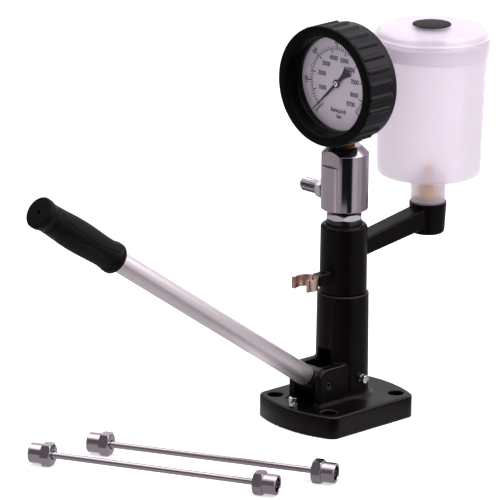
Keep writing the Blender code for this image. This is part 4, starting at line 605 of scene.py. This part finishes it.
def panel_edges():
    """The panels' edges on the unrolled grip, in mm: along the grip from its outer end, and round it."""
    edges = []
    for panel in PANELS:
        for mirror in (False, True):
            points = [(share * GRIP_LENGTH, (180 - up if mirror else up) * DEGREE) for share, up in panel]
            edges.append(np.array(smooth_loop(points)))
    return edges


def smooth_loop(points, steps=4):
    """A closed Catmull-Rom curve through the points."""
    count, made = len(points), []
    for i in range(count):
        a, b, c, d = (np.array(points[(i + k) % count]) for k in (-1, 0, 1, 2))
        second, third = 2 * a - 5 * b + 4 * c - d, 3 * b - a - 3 * c + d
        for t in (k / steps for k in range(steps)):
            made.append(0.5 * (2 * b + (c - a) * t + second * t**2 + third * t**3))
    return made


def inside_and_distance(points, loop):
    """For many points: whether each lies inside a loop, and how far it is from the loop's line."""
    start, end = loop, np.roll(loop, -1, axis=0)
    span = end - start
    rel = points[:, None, :] - start[None]
    t = np.clip((rel * span).sum(2) / (span**2).sum(1), 0, 1)
    far = np.linalg.norm(rel - t[..., None] * span, axis=2).min(1)
    above = (start[None, :, 1] > points[:, 1:]) != (end[None, :, 1] > points[:, 1:])
    rise = np.where(np.abs(span[:, 1]) < 1e-9, 1e-9, span[:, 1])
    cross = start[:, 0] + (points[:, 1:] - start[:, 1]) * span[:, 0] / rise
    return (above & (points[:, :1] < cross)).sum(1) % 2 == 1, far


def lever_grip():
    """The rubber sleeve: flanges, a ring groove behind its end, and palm panels with a groove round each."""
    rings, steps = 190, 200
    bore, vent, end_wall = 10.7, 2, 5
    groove_width, groove_depth, swell_height, swell_run = 0.75, 0.75, 0.25, 6
    outer_ring, inner_ring = 14.5, 6.5  # from the outer end and from the inner end

    outside = [(grip_radius(1 - i / rings), GRIP_HIGH - GRIP_LENGTH * i / rings) for i in range(rings + 1)]
    corner = outside[0][0]
    rounded_end = [(corner - 3, GRIP_HIGH), (corner - 1.2, GRIP_HIGH - 0.15), (corner - 0.35, GRIP_HIGH - 0.5)]
    inside_out = [(bore, GRIP_LOW), (bore, GRIP_HIGH - end_wall), (vent, GRIP_HIGH - end_wall)]
    bm = turned([(vent, GRIP_HIGH), *rounded_end, *outside[2:], *inside_out], steps)

    verts = [v for v in bm.verts if math.hypot(v.co.x, v.co.y) > 12.5 and v.co.z > GRIP_LOW + 0.5]
    flat = np.array([(GRIP_HIGH - v.co.z, math.degrees(math.atan2(v.co.y, v.co.x)) * DEGREE) for v in verts])
    whole = 360 * DEGREE
    flat[:, 1] = (flat[:, 1] + whole / 4 + whole) % whole - whole / 4
    groove = np.zeros(len(verts))
    raised = np.zeros(len(verts))
    on_panel = np.zeros(len(verts), bool)
    for loop in panel_edges():
        for round_again in (-whole, 0, whole):
            inside, far = inside_and_distance(flat + np.array([0, round_again]), loop)
            groove = np.maximum(groove, np.exp(-((far / groove_width) ** 2)))
            raised = np.maximum(raised, np.where(inside, np.clip(far / swell_run, 0, 1) ** 0.5, 0))
            on_panel |= inside
    along = flat[:, 0]
    ring = np.exp(-(((along - outer_ring) / 0.7) ** 2))
    ring += 0.7 * np.exp(-(((along - GRIP_LENGTH + inner_ring) / 0.6) ** 2))
    for vert, cut, swell in zip(verts, np.maximum(groove, ring), raised):
        radius = math.hypot(vert.co.x, vert.co.y)
        vert.co.xy *= (radius - groove_depth * cut + swell_height * swell) / radius
    bm.verts.index_update()
    panel_verts = {vert.index for vert, on in zip(verts, on_panel) if on}
    show(
        "lever_grip_sleeve", bm, LEVER, "lever", (GRIP_RUBBER, PANEL_RUBBER), "rubber", "lever_grip", sharp=60,
        panel=lambda face: all(vert.index in panel_verts for vert in face.verts),
    )


def pivot_pin():
    """The roll pin: a split tube."""
    pin = soften(turned([(3.4, -21.8), (3.4, 21.8), (1.7, 21.8), (1.7, -21.8)], SMALL_ROUND), 0.5)
    pin = combined(pin, "DIFFERENCE", [block((0, -0.5, -23), (5, 0.5, 23))])
    show("roll_pin", pin, PIVOT @ turn(140, "Z"), "stand", DARK_STEEL, "dark_steel", "pivot_pin")


# ---------------------------------------------------------------- valve block and outlet


def valve_block():
    """The steel block that carries the gauge and the outlet, and the pump's barrel and nut below it."""
    body = [
        (15.8, 279.4), (23.6, 271.6), (23.6, 215.3), (22.8, 214.5), (12.3, 214.5), (12.3, 222.1), (7, 222.1),
        (7, 246), (1.6, 246), (1.6, 264.4), (6.5, 264.4), (6.5, 279.4),
    ]
    bm = soften(turned(body, 160), 0.35, 2)
    flat, flat_low = 20.2, 259.5
    spanner_flats = [block((-30, flat, flat_low), (30, 30, 290)), block((-30, -30, flat_low), (30, -flat, 290))]
    bm = combined(bm, "DIFFERENCE", [*spanner_flats, placed(rod(5.3, 0, 30), OUTLET)])
    show("valve_block", bm, COLUMN, "stand", TURNED_NICKEL, "bright_steel", "valve_body")

    barrel = [
        (12, 220.5), (12, 203.9), (17.2, 203.9), (17.6, 203.5), (17.6, 193.6), (15, 193.6), (15, 173), (13.5, 173),
        (13.5, 167), (15, 167), (15, 100), (9.5, 100), (9.5, 112), (6.3, 112), (6.3, 203), (2, 203), (2, 220.5),
    ]
    show("barrel_sleeve", turned(barrel), COLUMN, "stand", DARK_STEEL, "dark_steel", "pump_barrel")
    flats, low, high = 34.5, 204.2, 211
    nut = [*hexagon(flats, low, high), (12.3, low), (12.3, high)]
    bm = milled(turned(nut, 120), flats, low, high)
    show("barrel_jam_nut", bm, turn(-45, "Z"), "stand", ZINC, "zinc", "jam_nut")

    flats, low, high = 19, 25.2, 32.8
    stub = list(reversed(thread(7, 34.5, 56, 1.5)))
    profile = [
        (2, 55.1), (4.4, 57.5), (6, 57.5), (6.2, 56.6), *stub, (6.2, high), *hexagon(flats, low, high),
        (5, low), (5, 10.9), (2, 10.9),
    ]
    bm = milled(turned(profile), flats, low, high)
    show("outlet_stub", bm, OUTLET @ turn(30, "Z"), "stand", ZINC, "zinc", "outlet_union")
    show("outlet_washer", washer(9.5, 5.3, 23.9, 24.9), OUTLET, "stand", COPPER, "copper", "union_washer")


# ---------------------------------------------------------------- gauge


RIB_FRONT = 29.9  # where the guard's ribs end and its smooth face begins


def gauge_guard():
    """The ribbed rubber guard: one rib and its share of the ring, then copied round."""
    ribs, phase = 27, math.radians(9.8)
    pitch = math.tau / ribs
    half_width, height, rib_back = 2.7, 2.15, 1.0
    outer = 58.6
    # Rows of points along the side, closer where a rib ends
    side = [29.6, 28.9, 28.2, 27, 23, 18, 13, 8, 4, 2.6, 1.8, 1.1, 0.5, -0.1, -0.7, -1.3, -1.9, -3, -5]
    profile = [
        *arc((58.3, 32), 1.8, 90, 0, 5), (60.1, 31), (59.8, 30.2), *[(outer, z) for z in side],
        *arc((55.6, -7), 3, 0, -90, 6), (41, -10), *arc((41, -9), 1, -90, -180, 3)[1:], (40, -6.3), (51.6, -6.3),
        (51.6, 21.2), (47.6, 21.2), (47.9, 24), (48.5, 28), (49.6, 32), (51.2, 33.5), (53, 33.8),
    ]
    bm = turned(profile, 26, pitch)
    bmesh.ops.rotate(bm, cent=(0, 0, 0), matrix=Matrix.Rotation(-pitch / 2, 3, "Z"), verts=bm.verts)
    for vert in bm.verts:
        radius = math.hypot(vert.co.x, vert.co.y)
        if radius > outer - 0.1 and -5 < vert.co.z < RIB_FRONT:
            across = radius * math.atan2(vert.co.y, vert.co.x)
            off = math.hypot(across, max(0, rib_back - vert.co.z)) / half_width
            if off < 1:
                vert.co.xy *= (radius + height * math.sqrt(1 - off**2)) / radius
    bmesh.ops.rotate(bm, cent=(0, 0, 0), matrix=Matrix.Rotation(phase, 3, "Z"), verts=bm.verts)
    bmesh.ops.spin(
        bm, geom=bm.verts[:] + bm.edges[:] + bm.faces[:], cent=(0, 0, 0), axis=(0, 0, 1),
        angle=math.tau - pitch, steps=ribs - 1, use_duplicate=True,
    )
    bmesh.ops.remove_doubles(bm, verts=bm.verts, dist=0.005)
    bmesh.ops.recalc_face_normals(bm, faces=bm.faces)
    bm = combined(bm, "DIFFERENCE", [stem_hole(12)])
    # The smooth face and the inner wall take the rubber that is painted darker as shade
    show(
        "gauge_guard", bm, GAUGE, "stand", (GUARD_RUBBER, LIP_RUBBER_SHADED), "rubber", "gauge_boot", sharp=60,
        panel=lambda face: smooth_part(on_gauge(face)),
    )


def stem_hole(radius):
    """What is cut from a gauge part where the stem comes in from below."""
    return placed(rod(radius, 30, 66), turn(90, "X"))


def on_gauge(face):
    """The middle of a face that is in place, in the gauge's own mm."""
    return GAUGE.inverted() @ (face.calc_center_median() / MM)


def smooth_part(spot):
    """Whether a place on the guard belongs to its smooth face or its inner wall, which are painted darker as shade.
    """
    return spot.z > RIB_FRONT or (spot.z > 0 and spot.xy.length < 55)


def bar_angle(bar):
    """Where a pressure in bar stands on the dial, in degrees anticlockwise from its right side."""
    return 229.5 - 0.4573 * bar


def psi_angle(psi):
    """The same for a pressure in pounds per square inch, on the inner scale."""
    return 230.9 - 0.03158 * psi


PRINT_MIDDLE, PRINT_HALF = 12.05, 0.03  # height and half the thickness of the print on the dial


def printed(bm, text, height, at, lean=0, squeeze=1.0):
    """Adds lettering to a flat mesh, centred on a point of the dial and turned by an angle in degrees."""
    curve = bpy.data.curves.new("lettering", "FONT")
    curve.body, curve.size = text, height / 0.7
    curve.align_x, curve.align_y = "CENTER", "CENTER"
    curve.extrude = PRINT_HALF
    curve.offset = height * 0.06
    drawn = bpy.data.objects.new("lettering", curve)
    bpy.context.scene.collection.objects.link(drawn)
    mesh = bpy.data.meshes.new_from_object(drawn.evaluated_get(bpy.context.evaluated_depsgraph_get()))
    bpy.data.objects.remove(drawn)
    bpy.data.curves.remove(curve)
    mesh.transform(shift(*at, PRINT_MIDDLE) @ turn(lean, "Z") @ Matrix.Diagonal((squeeze, 1, 1, 1)))
    bm.from_mesh(mesh)
    bpy.data.meshes.remove(mesh)


def tick(bm, angle, inner, outer, width):
    """A printed line along a radius of the dial."""
    place = turn(angle, "Z") @ shift((inner + outer) / 2, 0, PRINT_MIDDLE)
    size = Matrix.Diagonal((outer - inner, width, 2 * PRINT_HALF, 1))
    bmesh.ops.create_cube(bm, size=1, matrix=place @ size)


# Middle of each label of the inner scale, in mm from the dial's middle
PSI_LABELS = {
    1000: (-20.3, -7.5), 2000: (-20.9, 6.8), 3000: (-15.5, 17.2), 4000: (-5.8, 24.6), 5000: (8.2, 23.8),
    6000: (16.5, 16.3), 7000: (22, 4.9), 8000: (21.8, -8.1), 8700: (17.3, -18.1),
}


def polar(radius, angle):
    return radius * math.cos(math.radians(angle)), radius * math.sin(math.radians(angle))


def dial_print():
    """Both scales, their labels and units. Lines are drawn about twice as wide as life, or they would vanish."""
    circle, label_circle = 34.2, 41.2
    low, high = PRINT_MIDDLE - PRINT_HALF, PRINT_MIDDLE + PRINT_HALF
    bm = turned([(34.4, low), (34.4, high), (33.9, high), (33.9, low)], 120, math.radians(270))
    bmesh.ops.rotate(bm, cent=(0, 0, 0), matrix=Matrix.Rotation(math.radians(-45), 3, "Z"), verts=bm.verts)
    for bar in range(0, 601, 10):
        hundred, fifty = bar % 100 == 0, bar % 50 == 0
        tick(bm, bar_angle(bar), circle, 39.2 if hundred else 38.2 if fifty else 37.2, 1.4 if hundred else 0.75)
    for psi in range(0, 8701, 200):
        thousand = psi % 1000 == 0
        tick(bm, psi_angle(psi), 29.8 if thousand else 32.4, circle, 1.2 if thousand else 0.5)
    for bar in range(0, 601, 100):
        angle = bar_angle(bar)
        printed(bm, str(bar), 3.6, polar(label_circle, angle), angle - 90, 0.9)
    for psi, at in PSI_LABELS.items():
        printed(bm, str(psi), 4.4, at, 0, 0.86)
    printed(bm, "lbs/sq.inch", 4, (1.4, -27.3), 0, 0.85)
    printed(bm, "bar", 4, (2.2, -33.1), 0, 0.85)
    show("dial_print", bm, GAUGE, "stand", INK, "black_paint")


def pointer():
    """A fine needle with a hub disc and a flared tail, and the nickelled hub with its dark steel core."""
    tail_length, tail_half = 20.8, 6.1
    flare = ((0.36, 0.3), (0.5, 0.36), (0.7, 0.52), (0.85, 0.72), (1, 1))
    needle = [(44, 0.3), *arc((0, 0), 4.3, 21, 159, 16)]
    needle += [(-tail_length * along, tail_half * out) for along, out in flare]
    needle += [(-tail_length - 0.8, 0), *[(x, -y) for x, y in reversed(needle)]]
    bm = soften(placed(slab(needle, 14, 14.6), turn(225, "Z")), 0.12, 1)
    bm = combined(bm, "DIFFERENCE", [rod(1.5, 12, 16)])
    show("pointer_needle", bm, GAUGE, "pointer", POINTER_BLACK, "black_paint", "gauge_pointer")
    hub = [
        (0, 15.3), (0.9, 15.3), (1.1, 15.9), (1.6, 16.1), (2.6, 15.7), (2.7, 14.9), (1.2, 14.9), (1.2, 2), (0, 2),
    ]
    show(
        "pointer_hub", turned(hub, SMALL_ROUND), GAUGE, "pointer", (PALE_BRASS, DARK_STEEL), "brass", "pointer_arbor",
        panel=lambda face: on_gauge(face).xy.length < 1,
    )


def gauge():
    gauge_guard()
    can = [(0, -6), (49, -6), (49.7, -5.7), (50, -5), (50, 19), (48.8, 19), (48.8, -4.7), (0, -4.7)]
    bm = combined(turned(can, BIG_ROUND), "DIFFERENCE", [stem_hole(4.9)])
    show("gauge_case_can", bm, GAUGE, "stand", ENAMEL, "black_paint", "gauge_case")
    bezel = [(51.3, 20.9), (51.3, 12), (50.3, 12), (50.3, 19.3), (46.8, 19.3), (46.8, 20.9)]
    bm = soften(turned(bezel, BIG_ROUND), 0.4)
    show("gauge_bezel_ring", bm, GAUGE, "stand", ENAMEL, "black_paint", "gauge_bezel")
    gasket = [(48.5, 16.7), (48.5, 12.3), (46.8, 12.3), (46.8, 16.7)]
    show("gauge_gasket_ring", turned(gasket, BIG_ROUND), GAUGE, "stand", GUARD_RUBBER, "rubber", "gauge_gasket")
    card = [(48.5, 12), (48.5, 11), (2.5, 11), (2.5, 12)]
    show("gauge_dial_card", turned(card, BIG_ROUND), GAUGE, "stand", DIAL_LACQUER, "dial_white", "gauge_dial")
    # The pane keeps sharp edges: a bevel's averaged normals would bend the print behind it
    pane = turned([(0, 19), (48.5, 19), (48.5, 17), (0, 17)], BIG_ROUND)
    window = show("gauge_window", pane, GAUGE, "stand", WINDOW_GLASS, "glass", "gauge_lens")
    window.visible_shadow = False
    dial_print()
    pointer()

    flats, low, high = 19, 281, 291
    stem = [
        (0, 314), (4.6, 314), (4.6, high + 1), (6, high), *hexagon(flats, low, high), (6.2, low), (6.2, 265.4),
        (1.6, 265.4), (1.6, 308), (0, 308),
    ]
    bm = milled(turned(stem, NUT_ROUND), flats, low, high)
    show("gauge_nipple", bm, COLUMN, "stand", BRASS, "brass", "gauge_stem")
    show("gauge_nipple_washer", washer(9.5, 6.5, 279.7, 280.7), COLUMN, "stand", COPPER, "copper", "gauge_washer")


# ---------------------------------------------------------------- reservoir


def reservoir():
    """The pot with its spout in the arm's cup, the lid with its vent socket, the cap, and what holds the pot down."""
    pot = [
        (56, 366), (55.99, 360), *arc((48, 233.8), 4, 0, -90, 6), (20.5, 229.8), (18.6, 229.2), (17.7, 227.6),
        (17.7, 201.4), (15.9, 201.4), (15.9, 229.8), (5.7, 229.8), (5.7, 231.6), *arc((48, 233.8), 2.2, -90, 0, 4),
        (54.2, 366),
    ]
    show("reservoir_pot", turned(pot, BIG_ROUND), RESERVOIR, "stand", MILKY_PLASTIC, "milky_plastic", "tank")
    lid = [
        (13.8, 382), (18.1, 382), (18.4, 381.7), (18.4, 380), *arc((49, 373), 7, 90, 10, 8), (56.4, 372.4),
        (57.2, 372.1), *arc((57.8, 371.0), 1.6, 60, -50, 6),
        (58.6, 368.8), (58.2, 353), (57.7, 352.5), (56.3, 352.5), (56.3, 366.3), (54.2, 366.3),
        *arc((49, 373), 5.4, 0, 90, 6), (15.4, 378.4), (15.4, 357), (13.8, 357),
    ]
    show("reservoir_lid", turned(lid, BIG_ROUND), RESERVOIR, "lid", MILKY_PLASTIC, "milky_plastic", "tank_lid")
    cap = [
        (0, 383.3), *arc((18.9, 382.7), 0.6, 90, 0, 4), (19.5, 382.3), (13.5, 382.3), (13.5, 366.3), (11.9, 366.3),
        (11.9, 382), (0, 382),
    ]
    show("reservoir_vent_cap", turned(cap), RESERVOIR, "cap", CAP_PLASTIC, "rubber", "vent_cap")
    seal = washer(17.7, 8.3, 198.7, 201.1, 0.4, ROUND)
    show("reservoir_seal", seal, RESERVOIR, "stand", SEAL_RUBBER, "red_rubber", "tank_seal")
    flats, low, high = 19, 207, 215
    nipple = [
        (2.8, 235.5), (5.4, 235.5), (5.4, 220), (8, high), *hexagon(flats, low, high), (8, low), (8, 198.7),
        (6.5, 198.7), (6.5, 184.7), (2.8, 184.7),
    ]
    bm = milled(turned(nipple, NUT_ROUND), flats, low, high)
    show("reservoir_nipple", bm, RESERVOIR, "stand", BRASS, "brass", "tank_fitting")


# ---------------------------------------------------------------- test pipes


def test_pipes():
    """Each pipe has a cone at either end, and a union nut that turns freely behind it."""
    flats, low, high = 21.6, 104, 114
    for name, place in PIPES.items():
        half = [(3.15, 122), (6.2, 116), (6.2, 113), (3.15, 113)]
        profile = [*half, *[(r, -z) for r, z in reversed(half)], (1.2, -122), (1.2, 122)]
        bm = soften(turned(profile, SMALL_ROUND), 0.3)
        show(f"{name}_test_pipe", bm, place, f"{name}_pipe", TURNED_NICKEL, "bright_steel", f"test_pipe_{name}")
        for side, flip in (("left", turn(180, "Y")), ("right", turn(0, "Y"))):
            nut = [
                (7.2, 109), (7.2, 126.4), (7.8, 127), (9.1, 127), (9.9, 126.2), (9.9, high),
                *hexagon(flats, low, high), (4.7, low), (4.4, 106.6), (3.45, 107), (3.45, 109),
            ]
            bm = milled(turned(nut, NUT_ROUND), flats, low, high)
            show(
                f"{name}_{side}_union_nut", bm, place @ flip, f"{name}_{side}_nut", TURNED_NICKEL, "bright_steel",
                f"test_pipe_{name}_{side}_nut",
            )


# ---------------------------------------------------------------- studio


def towards(azimuth, elevation):
    """The direction at an azimuth, in degrees from the front to the right, and an elevation."""
    a, e = math.radians(azimuth), math.radians(elevation)
    return Vector((math.sin(a) * math.cos(e), -math.cos(a) * math.cos(e), math.sin(e)))


def emitter(name, strength):
    """A plain glow, for a card that only reflections see."""
    material = bpy.data.materials.new(name)
    tree = bare_tree(material)
    glow = add(tree, "ShaderNodeEmission", {"Strength": strength})
    add(tree, "ShaderNodeOutputMaterial", {}, {"Surface": glow.outputs[0]})
    return material


def card(name, start, end, profile, strength):
    """A card between two azimuths in degrees, by (radius, height) points in m, seen only in reflections."""
    bm = bmesh.new()
    a = math.radians(start)
    verts = [bm.verts.new((r * math.sin(a), -r * math.cos(a), z)) for r, z in profile]
    edges = [bm.edges.new(pair) for pair in zip(verts, verts[1:])]
    bmesh.ops.spin(
        bm, geom=[*verts, *edges], cent=(0, 0, 0), axis=(0, 0, 1), angle=math.radians(end - start), steps=24
    )
    made = in_scene(name, bm)
    made.data.materials.append(emitter(name, strength))
    made.visible_camera = made.visible_diffuse = made.visible_transmission = made.visible_shadow = False


def lamp(name, azimuth, elevation, distance, width, power):
    """A square soft box that faces the object's middle, by its distance and width in m and its power in W."""
    back = towards(azimuth, elevation)
    light = bpy.data.lights.new(name, "AREA")
    light.shape, light.size, light.energy = "SQUARE", width, power
    made = bpy.data.objects.new(name, light)
    made.location = Vector((0, -0.02, 0.2)) + back * distance
    made.rotation_euler = back.to_track_quat("Z", "Y").to_euler()
    bpy.context.scene.collection.objects.link(made)


def seen_directly(tree):
    """1 for camera, glossy and transmission rays, which see the white background, and 0 for the rest."""
    path = add(tree, "ShaderNodeLightPath")
    seen = path.outputs["Is Camera Ray"]
    for ray in ("Is Glossy Ray", "Is Transmission Ray"):
        seen = add(tree, "ShaderNodeMath", {"operation": "MAXIMUM"}, {0: seen, 1: path.outputs[ray]}).outputs[0]
    return seen


def white_world():
    """White where it is seen, and a little dimmer as a light."""
    world = bpy.data.worlds.new("studio")
    bpy.context.scene.world = world
    tree = bare_tree(world)
    strength = add(
        tree, "ShaderNodeMapRange", {"To Min": 0.8, "To Max": 1.0}, {"Value": seen_directly(tree)}
    ).outputs[0]
    sky = add(tree, "ShaderNodeBackground", {"Color": (1, 1, 1, 1)}, {"Strength": strength})
    add(tree, "ShaderNodeOutputWorld", {}, {"Surface": sky.outputs[0]})


def paper_floor():
    """White paper that keeps the object's shadow, and bounces less light than it shows."""
    bm = bmesh.new()
    bmesh.ops.create_circle(bm, cap_ends=True, radius=6, segments=64)
    floor = in_scene("floor", bm)
    paper = bpy.data.materials.new("white_background_paper")
    tree = bare_tree(paper)
    seen = seen_directly(tree)
    paper_shade = add(
        tree, "ShaderNodeMix", {"data_type": "RGBA", 6: linear("#a8a8a8"), 7: linear("#e6e6e6")}, {0: seen}
    ).outputs[2]
    matt = add(tree, "ShaderNodeBsdfDiffuse", {}, {"Color": paper_shade})
    glow_strength = add(tree, "ShaderNodeMapRange", {"To Max": 0.5}, {"Value": seen}).outputs[0]
    glow = add(tree, "ShaderNodeEmission", {}, {"Strength": glow_strength})
    both = add(tree, "ShaderNodeAddShader", {}, {0: matt.outputs[0], 1: glow.outputs[0]})
    add(tree, "ShaderNodeOutputMaterial", {}, {"Surface": both.outputs[0]})
    floor.data.materials.append(paper)


def studio():
    """World, floor and lamps, and the cards that the polished metal mirrors, as the photograph's room did."""
    white_world()
    paper_floor()
    on_floor = [(0.1, 0.001), (2.2, 0.001)]
    card("grey_table_left", -110, 30, on_floor, 0.55)
    card("dark_wall_left", -110, 30, [(2.25, 0.001), (2.25, 2.2)], 0.2)
    card("black_flag", 30, 82, [*on_floor, (2.3, 0.1), (2.3, 1.2)], 0.01)
    card("grey_paper_under_pipes", 22, 58, [(0.17, 0.0015), (0.5, 0.0015)], 0.45)
    # The table on the right falls off into shade, so that the valve block darkens towards its right edge
    for share, start, end, strength in (("near", 82, 108, 0.8), ("middle", 108, 135, 0.6), ("far", 135, 175, 0.38)):
        card(f"grey_table_right_{share}", start, end, [*on_floor, (2.6, 0.1), (2.8, 0.5)], strength)
    card("grey_table_back", 175, 250, on_floor, 0.5)
    lamp("soft_box_right", 120, 50, 2.3, 2, 44)
    lamp("soft_box_left", -60, 62, 2.6, 2.4, 30)


def camera():
    """The photograph's view: its azimuth, elevation and roll, and its long lens."""
    frame_width, focal = 500, 4225.6  # pixels
    middle_x, middle_y = 343.65, 247.72  # the pixel at which the point that the camera turns round is seen
    height, distance, roll = 0.1734, 4.1898, math.radians(0.95)
    back = towards(45.17, 16.24)
    right = Vector((0, 0, 1)).cross(back).normalized()
    up = back.cross(right)
    right, up = right * math.cos(roll) + up * math.sin(roll), up * math.cos(roll) - right * math.sin(roll)
    half = frame_width / 2
    ahead = (-back + right * (half - middle_x) / focal - up * (half - middle_y) / focal).normalized()
    side = (right - ahead * right.dot(ahead)).normalized()
    above = side.cross(ahead)
    data = bpy.data.cameras.new("camera")
    data.sensor_width = 36
    data.lens = focal / frame_width * data.sensor_width
    data.clip_start, data.clip_end = 0.1, 50
    made = bpy.data.objects.new("camera", data)
    made.matrix_world = Matrix(
        (
            (side.x, above.x, -ahead.x, 0),
            (side.y, above.y, -ahead.y, 0),
            (side.z, above.z, -ahead.z, 0),
            (0, 0, 0, 1),
        )
    )
    made.location = Vector((0, 0, height)) + back * distance
    bpy.context.scene.collection.objects.link(made)
    bpy.context.scene.camera = made


camera()
studio()
stand_base()
stand_housing()
screw("stop_screw_bolt", STOP_SCREW, 14.6, 28.6, 28.6, 23.1, "stop_screw", "stop_screw_nut")
screw("side_screw_bolt", SIDE_SCREW, 17.9, 31.4, 31.4, 26.2, "side_screw", "side_screw_nut")
lever_clip()
lever_parts()
lever_grip()
pivot_pin()
valve_block()
gauge()
reservoir()
test_pipes()
